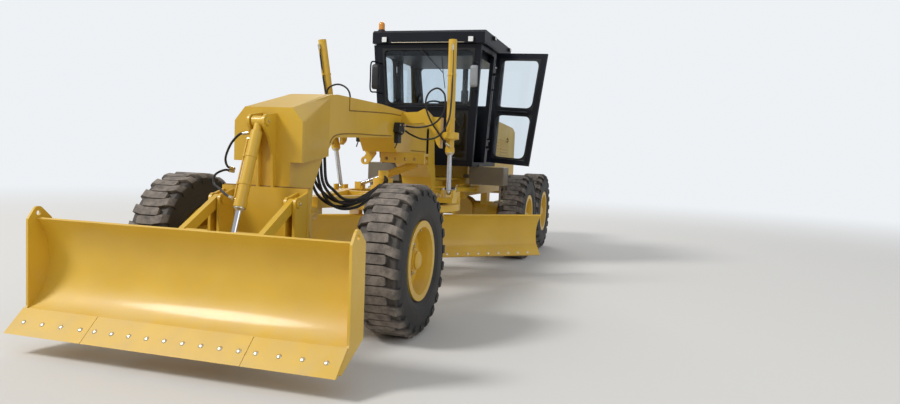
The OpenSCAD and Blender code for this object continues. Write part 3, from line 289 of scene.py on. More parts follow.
# bolt heads and edges that the spoil polishes
polishedSteel = plainMaterial("spoilPolishedSteel", "#E6DFCB", "#D8CDAF", 0.3, metal=0.85, blotch=0.02)
# pale moulded shell of one mirror
greyPlastic = plainMaterial("mouldedGreyPlastic", "#8C8F93", "#96999D", 0.4, grain=0.004, bump=0.15)
# silvered glass of the mirrors
mirrorGlass = plainMaterial("silveredMirrorGlass", "#C9CFD2", "#D2D7DA", 0.06, metal=1.0, bump=0.0)

# index below real glass, because both faces of each pane reflect
glassSetup = {"tint": "#E3ECF2", "smear": 0.02, "smearGrain": 0.4, "ior": 1.3}


def makeGlass(setup):
    # toughened float glass: clear with a faint cold tint and the least smear
    constants = {"Base Color": linear(setup["tint"]), "Transmission Weight": 1.0, "IOR": setup["ior"]}
    material, tree, shader, place = newMaterial("toughenedGlass", constants)
    connect(tree, spread(tree, noiseAt(tree, place, setup["smearGrain"]), 0.3, 0.7, 0.0, setup["smear"]), shader,
        "Roughness")
    return material


cabGlass = makeGlass(glassSetup)

finishes = {"cab_frame": cabEnamel, "cab_roof": cabEnamel, "cab_glass": cabGlass, "cab_seat": seatCloth,
    "cab_console": blackPlastic, "cab_mirrors": blackPlastic, "cab_lamps": clearLens, "steps_tanks": tankEnamel,
    "engine": engineEnamel, "exhaust": blackSteel, "grille": cabEnamel, "door_left": cabEnamel, "door_right": cabEnamel,
    "door_left_glass": cabGlass, "door_right_glass": cabGlass}


def finishNodes():
    for name, piece in nodes.items():
        if name.startswith("tyre_"):
            material = tyreRubber[name.split("_")[1]]
        elif "_rod" in name and name != "tie_rod":
            material = chromeRod
        else:
            material = finishes.get(name, enamelYellow)
        piece.data.materials.clear()
        piece.data.materials.append(material)


finishNodes()
print("materials on the solids")


# Shapes: each one is its points, the corner numbers of its faces, and how many corners each face has
def tubeGrid(rings, wrap=False):
    # n rings of m points: a face joins point j to its neighbours round the ring and on the next ring,
    # and flat faces close the ends
    rings = np.asarray(rings, float)
    n, m = rings.shape[:2]
    i, j = np.meshgrid(np.arange(n if wrap else n - 1), np.arange(m), indexing="ij")
    i2, j2 = (i + 1) % n, (j + 1) % m
    loops = np.stack([i * m + j, i * m + j2, i2 * m + j2, i2 * m + j], -1).reshape(-1)
    sizes = np.full(i.size, 4)
    if not wrap:
        loops = np.concatenate([loops, np.arange(m)[::-1], np.arange(m) + (n - 1) * m])
        sizes = np.append(sizes, [m, m])
    return rings.reshape(-1, 3), loops, sizes


def joined(parts):
    # parts one after another, each one's corner numbers raised by the points before it
    starts = np.cumsum([0] + [len(part[0]) for part in parts[:-1]])
    loops = np.concatenate([part[1] + start for part, start in zip(parts, starts)])
    return np.vstack([part[0] for part in parts]), loops, np.concatenate([part[2] for part in parts])


def copies(part, places):
    # the same part at each place: its points plus the place
    points, loops, sizes = part
    places = np.asarray(places, float).reshape(-1, 3)
    raised = loops[None] + np.arange(len(places))[:, None] * len(points)
    return (points[None] + places[:, None]).reshape(-1, 3), raised.ravel(), np.tile(sizes, len(places))


def mirrored(*parts):
    # the parts and their twins on the machine's other side
    part = joined(parts)
    return joined([part, (part[0] * [-1, 1, 1], part[1], part[2])])


def moved(part, x, y, z):
    # the same faces over new coordinates
    return np.stack([x, y, z], 1), part[1], part[2]


def leant(part, angle, place):
    # y cos - z sin and y sin + z cos, a turn about X, and then the place added
    x, y, z = part[0].T
    c, s = math.cos(angle), math.sin(angle)
    return moved(part, x + place[0], y * c - z * s + place[1], y * s + z * c + place[2])


def frameOf(axis):
    # two directions square to an axis, and the axis
    w = np.asarray(axis, float) / np.linalg.norm(axis)
    u = np.cross([0, 0, 1] if abs(w[2]) < 0.9 else [1, 0, 0], w)
    u /= np.linalg.norm(u)
    return u, np.cross(w, u), w


def turned(profile, place=(0, 0, 0), axis=(0, 0, 1), sides=24, ring=False):
    # radius and height pairs spun about an axis: place + height * axis + radius * (cos a * u + sin a * v);
    # a ring has its bore open
    radius, height = np.asarray(profile, float).T
    u, v, w = frameOf(axis)
    a = np.arange(sides) / sides * 2 * math.pi
    spokes = np.cos(a)[:, None] * u + np.sin(a)[:, None] * v
    return tubeGrid(np.asarray(place, float) + height[:, None, None] * w + radius[:, None, None] * spokes, wrap=ring)


def ringTube(place, radius, thick, sides, around):
    # place + (radius + thick * cos b) * (cos a * u + sin a * v) + thick * sin b * w, with w upright
    u, v, w = frameOf((0, 0, 1))
    a = np.arange(sides) / sides * 2 * math.pi
    b = np.arange(around) / around * 2 * math.pi
    spokes = (np.cos(a)[:, None] * u + np.sin(a)[:, None] * v)[:, None]
    reach = (radius + thick * np.cos(b))[None, :, None]
    return tubeGrid(np.asarray(place, float) + reach * spokes + thick * np.sin(b)[None, :, None] * w, wrap=True)


def hose(points, radius, steps=6, sides=10):
    # between b and c the line is half of 2b + (c-a)t + (2a-5b+4c-d)t^2 + (3b-a-3c+d)t^3, and a circle is carried
    # along it
    p = np.asarray(points, float)
    q = np.vstack([2 * p[0] - p[1], p, 2 * p[-1] - p[-2]])
    t = np.linspace(0, 1, steps, endpoint=False)[None, :, None]
    a, b, c, d = (q[k:len(q) - 3 + k][:, None] for k in range(4))
    line = 0.5 * (2 * b + (c - a) * t + (2 * a - 5 * b + 4 * c - d) * t ** 2 + (3 * b - a - 3 * c + d) * t ** 3)
    line = np.vstack([line.reshape(-1, 3), p[-1:]])
    along = np.gradient(line, axis=0)
    along /= np.linalg.norm(along, axis=1)[:, None]
    square = np.linalg.svd(line - line.mean(0))[2][2]
    side = np.cross(along, square)
    side /= np.linalg.norm(side, axis=1)[:, None]
    over = np.cross(side, along)
    turn = np.arange(sides)[None, :, None] / sides * 2 * math.pi
    return tubeGrid(line[:, None] + radius * (np.cos(turn) * side[:, None] + np.sin(turn) * over[:, None]))


# where an outline's two coordinates and its level go, by the level's axis
planeOrder = {"x": (2, 0, 1), "y": (0, 2, 1), "z": (0, 1, 2)}


def atLevel(outline, level, plane="z"):
    # a flat outline at a level along the axis named
    return np.column_stack([outline, np.full(len(outline), level)])[:, planeOrder[plane]]


def slab(outline, plane, low, high):
    # a flat outline carried straight from low to high along the axis named
    return tubeGrid(np.stack([atLevel(np.asarray(outline, float), level, plane) for level in (low, high)]))


def rect(x0, y0, x1, y1):
    # four corners from two opposite ones
    return [(x0, y0), (x1, y0), (x1, y1), (x0, y1)]


def block(low, high):
    # a box from its lowest corner to its highest
    return slab(rect(low[0], low[1], high[0], high[1]), "z", low[2], high[2])


def cornerWays(outline):
    # each corner, and the unit directions from it along its two sides
    p = np.asarray(outline, float)
    back, ahead = np.roll(p, 1, 0) - p, np.roll(p, -1, 0) - p
    return p, back / np.linalg.norm(back, axis=1)[:, None], ahead / np.linalg.norm(ahead, axis=1)[:, None]


def inset(outline, depth):
    # each corner of an outline moved inwards by depth measured square to its two sides
    p, back, ahead = cornerWays(outline)
    wide = np.abs(back[:, 0] * ahead[:, 1] - back[:, 1] * ahead[:, 0])[:, None]
    return p + depth * (back + ahead) / wide


def roundedCorners(outline, radius, steps=7):
    # each corner becomes (1-t)^2 start + 2t(1-t) corner + t^2 end, with start and end a radius away along its sides
    p, back, ahead = cornerWays(outline)
    t = np.linspace(0, 1, steps)[None, :, None]
    start, end = (p + radius * back)[:, None], (p + radius * ahead)[:, None]
    return ((1 - t) ** 2 * start + 2 * t * (1 - t) * p[:, None] + t ** 2 * end).reshape(-1, 2)


def paneSeal(hole, width, corner, plane, low, high):
    # a band between the hole's edge and the same outline inset, four points at each place, closed round
    outer, inner = roundedCorners(inset(hole, 0.001), 0.003), roundedCorners(inset(hole, width), corner)
    edges = ((outer, low), (outer, high), (inner, high), (inner, low))
    return tubeGrid(np.stack([atLevel(flat, level, plane) for flat, level in edges], 1), wrap=True)


def softBox(low, high, corner, sidesU, sidesV):
    # a box with swollen faces: each axis is half its length times cos or sin of two angles raised to the power corner
    low, high = np.asarray(low, float), np.asarray(high, float)
    power = lambda value: np.sign(value) * np.abs(value) ** corner
    v = np.linspace(-math.pi / 2, math.pi / 2, sidesV + 1)[1:-1, None]
    u = (np.arange(sidesU) / sidesU * 2 * math.pi)[None]
    unit = np.stack([power(np.cos(v)) * power(np.cos(u)), power(np.cos(v)) * power(np.sin(u)),
        power(np.sin(v)) + 0 * u], -1)
    return tubeGrid((low + high) / 2 + unit * (high - low) / 2)


def makePiece(name, parts, material, body="rear_frame", bevel=0.0, replaces=(), blend=None, sharp=35):
    # one object from parts; a piece given a blend is left on no body with its place baked into its points, and the
    # blend's second body and places are not used
    points, loops, sizes = joined(parts)
    mesh = bpy.data.meshes.new(name)
    mesh.vertices.add(len(points))
    mesh.vertices.foreach_set("co", toRow(points).astype(np.float32).ravel())
    mesh.loops.add(len(loops))
    mesh.loops.foreach_set("vertex_index", loops.astype(np.int32))
    mesh.polygons.add(len(sizes))
    mesh.polygons.foreach_set("loop_start", np.concatenate([[0], np.cumsum(sizes)[:-1]]).astype(np.int32))
    mesh.update(calc_edges=True)
    mesh.validate()
    grid = bmesh.new()
    grid.from_mesh(mesh)
    bmesh.ops.recalc_face_normals(grid, faces=grid.faces)
    grid.to_mesh(mesh)
    grid.free()
    mesh.polygons.foreach_set("use_smooth", np.ones(len(mesh.polygons), bool))
    mesh.set_sharp_from_angle(angle=math.radians(sharp))
    mesh.materials.append(material)
    piece = bpy.data.objects.new(name, mesh)
    bpy.context.scene.collection.objects.link(piece)
    if bevel:
        edge = piece.modifiers.new("edge", "BEVEL")
        edge.width, edge.segments, edge.limit_method, edge.angle_limit = bevel, 2, "ANGLE", math.radians(40)
        edge.harden_normals = True
    if blend:
        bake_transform(piece)
    else:
        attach(piece, body)
    if replaces:
        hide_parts(*replaces)
    return piece


bothSides = (("left", 1), ("right", -1))

# Wheels: nuts on the disc, hub cap and valve
wheelFit = {"x": 1.1125, "rows": {"front": 0.0, "middle": 5.37, "rear": 6.91}, "nuts": 12, "nutCircle": 0.15,
    "nut": 0.019, "disc": 0.06, "cap": 0.082, "capOut": 0.12, "valveOut": 0.1, "valveUp": 0.268}


def makeWheelFittings(setup):
    nut, cap = setup["nut"], setup["cap"]
    a = np.arange(setup["nuts"]) / setup["nuts"] * 2 * math.pi
    circle = np.stack([0 * a, np.cos(a), np.sin(a)], 1) * setup["nutCircle"]
    for row, y in setup["rows"].items():
        for sideName, side in bothSides:
            centre, out = np.array([side * setup["x"], y, wheelRadius]), np.array([side, 0.0, 0.0])
            seat = turned([(0.028, -0.001), (0.028, 0.004), (0.027, 0.005)], axis=out, sides=16)
            head = turned([(nut, 0.004), (nut, 0.02), (nut * 0.8, 0.024)], axis=out, sides=6)
            stud = turned([(0.009, 0.02), (0.009, 0.034), (0.007, 0.036)], axis=out, sides=10)
            parts = [copies(part, circle + centre + out * setup["disc"]) for part in (seat, head, stud)]
            parts.append(turned([(0.006, 0), (0.006, 0.05), (0.008, 0.05), (0.008, 0.068), (0.005, 0.072)],
                centre + [side * setup["valveOut"], 0.0, setup["valveUp"]], out, 10))
            hub = turned([(cap + 0.012, -0.002), (cap + 0.012, 0.008), (cap, 0.012), (cap, 0.03), (cap - 0.02, 0.044),
                (0.02, 0.048)], centre + out * setup["capOut"], out, 32)
            wheel = row + "_" + sideName
            makePiece("wheelNuts_" + wheel, parts, zincSteel, "wheel_" + wheel)
            makePiece("hubCap_" + wheel, [hub], enamelYellow, "wheel_" + wheel)


makeWheelFittings(wheelFit)
print("wheel fittings")

# Cylinders: gland nut, steel pipe along the barrel with its bands, and ports. A row is the body, the pins of tube and
# rod, the radius of barrel and rod, the barrel's start and end from the tube's pin, how far past its end the gland
# sits, and the side that the pipe lies on
rams = {
    "lift_left": ("lift_left_tube", (0.829, 2.3, 1.85), (0.85054, 2.25294, 1.17), 0.05, 0.028, -1.12, 0.15, 0.05,
        (0.3, -1, 0)),
    "lift_right": ("lift_right_tube", (-0.715, 2.3, 1.85), (-0.616873, 2.34012, 1.17), 0.05, 0.028, -1.12, 0.15, 0.05,
        (-0.3, -1, 0)),
    "dozer": ("dozer_tube", (0, -0.596, 1.84), (0, -1.09, 0.47), 0.048, 0.025, 0.14, 0.72, 0.043, (-1, 0, 0)),
    "centre": ("centre_shift_tube", (0.47, 2.40105, 1.53), (-0.377838, 2.40105, 1.21), 0.045, 0.025, 0.12, 0.48, 0.043,
        (0, 1, 0.2)),
    "turn_left": ("turn_left_tube", (0.56, 4.7, 1.12), (0.31, 3.76, 1.12), 0.045, 0.025, 0.12, 0.6, 0.043, (0, 0, 1)),
    "turn_right": ("turn_right_tube", (-0.56, 4.7, 1.12), (-0.31, 3.76, 1.12), 0.045, 0.025, 0.12, 0.6, 0.043,
        (0, 0, 1))}
ramPipe = {"radius": 0.0075, "off": 0.022, "clamp": 0.014, "bands": (0.3, 0.72)}


def makeRamFittings(setup, name, body, top, low, barrel, rod, a, b, glandOut, side):
    top, low, side = (np.array(value, float) for value in (top, low, side))
    along = (low - top) / np.linalg.norm(low - top)
    side -= along * (side @ along)
    side /= np.linalg.norm(side)
    at = lambda distance, out: top + along * distance + side * out
    off, spots = barrel + setup["off"], [a + (b - a) * share for share in setup["bands"]]
    pipe = hose([at(a + 0.02, barrel - 0.004), at(a + 0.02, barrel + 0.018), at(a + 0.06, off), at((a + b) / 2, off),
        at(b - 0.06, off), at(b - 0.02, barrel + 0.02), at(b - 0.02, barrel - 0.002)], setup["radius"])
    inner, outer = barrel + 0.0015, barrel + 0.005
    bands = [turned([(inner, -0.014), (outer, -0.012), (outer, 0.012), (inner, 0.014)], at(spot, 0), along, 32,
        ring=True) for spot in spots]
    clamps = [turned([(setup["clamp"], -0.01), (setup["clamp"], 0.01)], at(spot, barrel + 0.018), along, 12)
        for spot in spots]
    makePiece("steelPipe_" + name, [pipe] + bands + clamps, enamelYellow, body)
    gland = turned([(barrel + 0.001, 0.0), (barrel + 0.001, 0.012), (barrel - 0.004, 0.016), (rod + 0.014, 0.018),
        (rod + 0.008, 0.03), (rod + 0.003, 0.03), (rod + 0.003, 0.002)], at(b + glandOut, 0), along, 36, ring=True)
    ports = [turned([(0.013, -0.004), (0.013, 0.008), (0.015, 0.008), (0.015, 0.022), (0.011, 0.026)], at(d, barrel),
        side, 6) for d in (a + 0.02, b - 0.02)]
    makePiece("gland_" + name, [gland] + ports, zincSteel, body)


for ramName, ramRow in rams.items():
    makeRamFittings(ramPipe, ramName, *ramRow)
print("cylinder fittings")

# Hoses from the neck to a cylinder, left on no body. A row is the cylinder's body, the hose's radius, where a pull of
# that body would start and where it would be whole (neither is used), and the points of the run
hoseRuns = {
    "liftHoseLeftUpper": ("lift_left_tube", 0.011, (0.55, 2.2, 2.25), (0.82, 2.22, 1.8), (
        (0.251, 2.2, 1.963), (0.32, 2.19, 1.95), (0.466, 2.17, 1.94), (0.626, 2.16, 1.972), (0.724, 2.16, 2.043),
        (0.785, 2.16, 2.154), (0.79, 2.16, 2.298), (0.755, 2.17, 2.372), (0.68, 2.17, 2.412), (0.588, 2.17, 2.363),
        (0.545, 2.17, 2.259), (0.561, 2.18, 2.136), (0.625, 2.19, 2.0), (0.735, 2.19, 1.852), (0.8, 2.19, 1.77),
        (0.842, 2.205, 1.73))),
    "liftHoseLeftLower": ("lift_left_tube", 0.011, (0.5, 2.2, 1.8), (0.84, 2.2, 2.1), (
        (0.252, 2.19, 1.921), (0.3, 2.18, 1.89), (0.381, 2.16, 1.848), (0.53, 2.14, 1.8), (0.676, 2.14, 1.815),
        (0.774, 2.15, 1.887), (0.832, 2.17, 2.012), (0.85, 2.2, 2.149), (0.838, 2.27, 2.454), (0.823, 2.3, 2.75),
        (0.815, 2.309, 2.932))),
    "liftHoseRightUpper": ("lift_right_tube", 0.011, (-0.45, 2.2, 2.25), (-0.69, 2.22, 1.8), (
        (-0.251, 2.2, 1.963), (-0.34, 2.19, 1.94), (-0.5, 2.17, 1.95), (-0.64, 2.16, 2.04), (-0.72, 2.16, 2.18),
        (-0.762, 2.16, 2.31), (-0.732, 2.16, 2.404), (-0.62, 2.17, 2.446), (-0.506, 2.17, 2.407),
        (-0.449, 2.17, 2.314), (-0.46, 2.18, 2.15), (-0.54, 2.19, 1.96), (-0.64, 2.2, 1.81), (-0.712, 2.225, 1.73))),
    "liftHoseRightLower": ("lift_right_tube", 0.011, (-0.4, 2.2, 1.8), (-0.72, 2.2, 2.1), (
        (-0.252, 2.19, 1.921), (-0.3, 2.18, 1.88), (-0.42, 2.15, 1.83), (-0.56, 2.14, 1.83), (-0.67, 2.15, 1.91),
        (-0.73, 2.17, 2.05), (-0.765, 2.2, 2.2), (-0.829, 2.195, 2.5), (-0.866, 2.18, 2.75), (-0.893, 2.172, 2.932))),
    "dozerHoseUpper": ("dozer_tube", 0.01, (-0.3, -0.5, 1.5), (-0.05, -0.62, 1.75), (
        (-0.34, -0.44, 1.42), (-0.36, -0.5, 1.44), (-0.33, -0.58, 1.5), (-0.28, -0.63, 1.57), (-0.213, -0.66, 1.655),
        (-0.13, -0.67, 1.725), (-0.062, -0.66, 1.735))),
    "dozerHoseLower": ("dozer_tube", 0.01, (-0.34, -0.5, 1.38), (-0.08, -0.85, 1.2), (
        (-0.345, -0.44, 1.4), (-0.37, -0.53, 1.41), (-0.4, -0.62, 1.37), (-0.36, -0.7, 1.3), (-0.26, -0.76, 1.26),
        (-0.15, -0.82, 1.215), (-0.062, -0.868, 1.195)))}


def bundleRun(k):
    # five hoses hang from the neck's underside and climb to the drawbar's beam, each one set over, and every other
    # one sags deeper
    low = (0.0, 0.045, -0.02, 0.03, 0.07)[k]
    return [(0.042 * k, 0.3, 1.625), (0.01 + 0.042 * k, 0.29, 1.5), (0.05 + 0.04 * k, 0.27, 1.32),
        (0.12 + 0.038 * k, 0.3, 1.17 + low), (0.24 + 0.03 * k, 0.38, 1.08 + low), (0.37 + 0.026 * k, 0.52, 1.09 + low),
        (0.47 + 0.016 * k, 0.7, 1.18 + low * 0.8), (0.49 + 0.012 * k, 0.88, 1.25 + low * 0.5),
        (0.42 + 0.018 * k, 1.07, 1.262 + low * 0.2), (0.335 + 0.036 * k, 1.27, 1.21), (0.32 + 0.038 * k, 1.4, 1.187)]


def beamRun(k):
    # three hoses go on along the beam and climb to the turn drive
    return [(0.32 + 0.038 * k, 1.4, 1.187), (0.3 + 0.03 * k, 1.5, 1.178 + 0.004 * k), (0.26 + 0.03 * k, 1.62, 1.2),
        (0.21 + 0.022 * k, 1.74, 1.26), (0.19 + 0.014 * k, 1.83, 1.29 + 0.01 * k), (0.16, 1.89, 1.3 + 0.02 * k)]


hoseWork = {"sleeve": 0.004, "length": 0.05, "bundle": 0.0145, "bundlePull": ((0.2, 0.3, 1.2), (0.42, 1.15, 1.25)),
    "beam": 0.011, "armX": ((0.434, 0.46, 0.5, 0.52), (0.472, 0.5, 0.535, 0.55)), "armY": (1.4, 1.6, 1.9, 2.1),
    "armZ": (1.187, 1.185, 1.18, 1.14)}


def ferrule(points, radius, setup):
    # a pressed sleeve and its nut round a hose's last stretch
    place, before = np.array(points[-1], float), np.array(points[-2], float)
    ahead = (place - before) / np.linalg.norm(place - before)
    r, length = radius + setup["sleeve"], setup["length"]
    return [turned([(radius, -length), (r, -length + 0.003), (r, -0.014), (radius, -0.012)], place, ahead, 16),
        turned([(radius + 0.002, -0.014), (r + 0.003, -0.012), (r + 0.003, 0.006), (radius, 0.008)], place, ahead, 6)]


def makeHoses(setup):
    for name, (body, radius, start, end, points) in hoseRuns.items():
        makePiece(name, [hose(points, radius)], hoseRubber, "front_frame", blend=(body, start, end))
    bundle = [bundleRun(k) for k in range(5)]
    makePiece("hoseBundle", [hose(points, setup["bundle"], sides=12) for points in bundle], hoseRubber, "front_frame",
        blend=("drawbar", *setup["bundlePull"]))
    # the other two run back along the drawbar's arm
    lines = [beamRun(k) for k in range(3)] + [list(zip(x, setup["armY"], setup["armZ"])) for x in setup["armX"]]
    makePiece("drawbarHoses", [hose(points, setup["beam"]) for points in lines], hoseRubber, "drawbar")
    nearEnds, farEnds = [], {}
    runs = [(body, points, radius) for body, radius, start, end, points in hoseRuns.values()]
    for body, points, radius in runs + [("drawbar", points, setup["bundle"]) for points in bundle]:
        nearEnds += ferrule(points[::-1], radius, setup)
        farEnds.setdefault(body, []).extend(ferrule(points, radius, setup))
    makePiece("hoseEnds_front", nearEnds, zincSteel, "front_frame")
    for body, parts in farEnds.items():
        makePiece("hoseEnds_" + body, parts, zincSteel, body)


makeHoses(hoseWork)

# Clamp blocks on the neck's sides that the lift hoses leave from
clampBlock = {"x": (0.2195, 0.262), "plate": (2.15, 2.185), "out": 0.03,
    "bolts": ((2.0, 1.955), (2.11, 1.955), (2.05, 1.87))}


def makeClampBlocks(setup):
    (low, high), (front, rear) = setup["x"], setup["plate"]
    face = high + setup["out"]
    upper = roundedCorners([(1.955, 1.875), (1.99, 1.985), (2.15, 1.99), (2.15, 1.86), (2.07, 1.835)], 0.02, 4)
    lower = roundedCorners([(2.0, 1.74), (2.1, 1.74), (2.1, 1.85), (2.0, 1.86)], 0.015, 4)
    stub = hose([(0.25, 2.03, 1.76), (0.252, 2.0, 1.72), (0.25, 1.975, 1.69), (0.245, 1.96, 1.68)], 0.007)
    makePiece("hoseClamps", [mirrored(slab(upper, "x", low, face), slab(lower, "x", low, high + 0.012), stub)],
        blackPlastic, "front_frame", bevel=0.004)
    steel = [block((low, front, 1.86), (low + 0.036, rear, 1.99))]
    bolt = [(0.011, 0), (0.011, 0.009), (0.008, 0.011)]
    steel += [turned(bolt, (face, y, z), (1, 0, 0), 6) for y, z in setup["bolts"]]
    makePiece("clampPlates", [mirrored(*steel)], zincSteel, "front_frame", bevel=0.002)


makeClampBlocks(clampBlock)
print("hoses")

# Welds and slot on the neck, in darker colours that paint the shade along the seams and inside the slot
neckWork = {"side": 0.22, "bead": 0.007, "edge": ((0.72, 2.03), (1.715, 2.074), (2.2, 2.08)),
    "nose": ((0.72, 2.03), (0.722, 2.09), (0.72, 2.16)), "rear": ((2.62, 1.66), (2.9, 1.657), (3.18, 1.653)),
    "arch": ((0.3, 1.69), (0.345, 1.735), (0.42, 1.765), (0.55, 1.785), (0.75, 1.797), (1.08, 1.806), (1.5, 1.81),
        (1.9, 1.82)),
    "slot": (3.276, 1.625, 1.93), "slotShadeSheet": (0.049, 0.045)}


def makeNeckWork(setup):
    side = setup["side"]
    lines = [[(side, y, z) for y, z in setup[key]] for key in ("edge", "nose", "rear", "arch")]
    welds = [mirrored(hose(line, setup["bead"], 10, 8)) for line in lines]
    # one bead across the nose along the bracket plate's edge
    welds += [hose([(x, -0.452, 1.283) for x in (-0.42, 0, 0.42)], 0.008, 6, 8)]
    # the beads take the darker enamel, painted shade along the seams
    makePiece("neckWelds", welds, weldPaintedShadeEnamel, "front_frame")
    # black sheet in the oval slot, painted shade where the slot's walls lie in shadow: outline r from its middle line,
    # carried across the neck and back inside itself
    middle, low, high = setup["slot"]
    outer, inner = (roundedCorners(rect(middle - r, low - r, middle + r, high + r), r - 0.0001, 8)
        for r in setup["slotShadeSheet"])
    edges = ((outer, -1), (outer, 1), (inner, 1), (inner, -1))
    slotShadeSheet = tubeGrid([atLevel(edge, way * (side - 0.002), "x") for edge, way in edges], wrap=True)
    makePiece("slotPaintedShade", [slotShadeSheet], sealRubber, "front_frame")


makeNeckWork(neckWork)

# Caps on the pins of the dozer's links and cylinder, and on the kingpins
pinWork = {"outerX": 0.4155, "innerX": 0.304, "frame": ((-0.64, 1.16), (-0.64, 0.6)), "cylinder": (0.083, -0.596, 1.84),
    "blade": ((-1.2903, 0.8069), (-1.2903, 0.2469)), "kingpin": (0.85, 0, 0.8345)}


def makePinCaps(setup):
    along = {"axis": (1, 0, 0), "sides": 28}
    cap = turned([(0.034, -0.004), (0.034, 0.01), (0.03, 0.014), (0.01, 0.015)], **along)
    inner = turned([(0.034, -0.014), (0.03, -0.012), (0.034, -0.01), (0.034, 0.004)], **along)
    big = turned([(0.038, -0.004), (0.038, 0.008), (0.032, 0.013), (0.01, 0.014)], setup["cylinder"], **along)
    at = lambda x, pins: [(x, y, z) for y, z in pins]
    both = lambda pins: mirrored(copies(cap, at(setup["outerX"], pins)), copies(inner, at(setup["innerX"], pins)))
    makePiece("linkPinCaps", [both(setup["frame"]), mirrored(big)], enamelYellow, "front_frame")
    bolt = turned([(0.012, 0.01), (0.012, 0.02), (0.01, 0.022)], axis=(1, 0, 0), sides=6)
    makePiece("linkPinBolts", [mirrored(copies(bolt, at(setup["outerX"] + 0.003, setup["frame"]))),
        mirrored(copies(bolt, setup["cylinder"]))], zincSteel, "front_frame")
    makePiece("bladePinCaps", [both(setup["blade"])], enamelYellow, "dozer_blade")
    king = turned([(0.062, 0), (0.062, 0.012), (0.05, 0.02), (0.016, 0.022), (0.016, 0.03), (0.01, 0.032)],
        setup["kingpin"], sides=32)
    for sideName, sign in bothSides:
        body = "knuckle_" + sideName
        makePiece("kingpinCap_" + body, [moved(king, *(king[0] * [sign, 1, 1]).T)], enamelYellow, body)


makePinCaps(pinWork)

# Bolts along both cutting edges: domed plough bolts polished by the spoil; the front blade's ends have wider steps
edgeBolt = {"radius": 0.019, "height": 0.007, "pitch": 0.15, "endX": [0.73, 0.905, 1.08, 1.255],
    "dozer": (-1.748, 0.235), "dozerOut": (0, -0.677, 0.736), "board": (0.13166, 2.54609, 0), "yaw": math.radians(40),
    "shift": 0.14, "reach": -0.187, "high": 0.344, "boardOut": (-0.802, 0.598)}


def makeEdgeBolts(setup):
    r, h, pitch = setup["radius"], setup["height"], setup["pitch"]
    dome = [(r, -0.004), (r, 0.002), (r * 0.8, h * 0.75), (r * 0.3, h)]
    y, z = setup["dozer"]
    places = [(x, y, z) for x in [*(np.arange(-4, 5) * pitch), *setup["endX"], *(-np.array(setup["endX"]))]]
    makePiece("dozerEdgeBolts", [copies(turned(dome, axis=setup["dozerOut"], sides=20), places)], polishedSteel,
        "dozer_blade")
    c, s = math.cos(setup["yaw"]), math.sin(setup["yaw"])
    across, forth, up = np.array([c, s, 0]), np.array([-s, c, 0]), np.array([0, 0, 1.0])
    outY, outZ = setup["boardOut"]
    x = np.arange(-11, 12)[:, None] * pitch + setup["shift"]
    places = np.array(setup["board"]) + x * across + forth * setup["reach"] + up * setup["high"]
    bolt = turned(dome, axis=forth * outY + up * outZ, sides=20)
    makePiece("moldboardEdgeBolts", [copies(bolt, places)], polishedSteel, "moldboard")


makeEdgeBolts(edgeBolt)

# Inside of the circle: a ring of teeth for the drive's pinion
circleTeeth = {"centre": (0.13166, 2.54609), "count": 72, "root": 0.645, "wall": 0.006, "tip": 0.624, "low": 0.94,
    "high": 0.985}


def makeCircleTeeth(setup):
    # eight points a tooth: the inner radius steps between the tip and just inside the root, and a four-point section
    # is carried round
    root, low, high = setup["root"], setup["low"], setup["high"]
    step = np.arange(setup["count"] * 8)
    a = step / len(step) * 2 * math.pi
    raised = np.array([0, 0, 0.5, 1, 1, 1, 0.5, 0])[step % 8]
    inner = root - setup["wall"] - raised * (root - setup["wall"] - setup["tip"])
    spoke = np.stack([np.cos(a), np.sin(a)], 1)
    section = ((root + 0 * inner, low), (root + 0 * inner, high), (inner, high), (inner, low))
    rings = np.stack([atLevel(spoke * radius[:, None] + setup["centre"], level) for radius, level in section], 1)
    makePiece("circleTeeth", [tubeGrid(rings, wrap=True)], blackSteel, "circle")


makeCircleTeeth(circleTeeth)
print("caps, welds, bolts and teeth")

# The cab's leaning planes: the front comes forward by "forward" over "height", and the sides lean out by "lean"
cabShape = {"half": 0.695, "floor": 1.47, "front": 3.9, "forward": 0.11, "height": 1.74, "lean": math.radians(3.26203),
    "hingeX": 0.046, "hingeY": 4.64, "open": math.radians(74)}
doorSides = (("left", 1, cabShape["open"]), ("right", -1, 0.0))


def onSide(part, side):
    # outward distance, place along the machine and height up the slope, turned by the side's lean
    out, y, h = part[0].T
    c, s = math.cos(cabShape["lean"]), math.sin(cabShape["lean"])
    return moved(part, side * (out * c + h * s + cabShape["half"]), y, h * c - out * s + cabShape["floor"])


def onFront(part):
    # across, depth into the wall and height up the slope, turned by the front's slant
    return leant(part, math.atan(cabShape["forward"] / cabShape["height"]), (0, cabShape["front"], cabShape["floor"]))


def onDoor(part, side, angle):
    # turned about the hinge line, then put on its side
    out, y, h = part[0].T
    c, s = math.cos(angle), math.sin(angle)
    dx, dy = out - cabShape["hingeX"], y - cabShape["hingeY"]
    return onSide(moved(part, cabShape["hingeX"] + dx * c - dy * s, cabShape["hingeY"] + dx * s + dy * c, h), side)


def frontLine(h):
    # the front plane's place along the machine at a height
    return cabShape["front"] - cabShape["forward"] * h / cabShape["height"]


# Rubber seals that give every pane its rounded corners: holes as their four corners, and where the band starts and ends
seals = {"width": 0.026, "corner": 0.075, "doorCorner": 0.1, "band": (-0.004, 0.064), "backBand": (5.316, 5.384),
    "sideBand": (-0.062, 0.003), "doorBand": (0.004, 0.048),
    "front": ((-0.65, 0.87), (0.65, 0.87), (0.704, 1.68), (-0.704, 1.68)),
    "foot": ((0.33, 0.09), (0.605, 0.09), (0.625, 0.8), (0.33, 0.8)), "side": rect(4.7, 0.62, 5.29, 1.65),
    "back": ((-0.595, 2.42), (0.595, 2.42), (0.674, 3.08), (-0.674, 3.08)),
    "doors": ((0.15, 0.83), (0.9, 1.65)), "hingeY": 4.568}


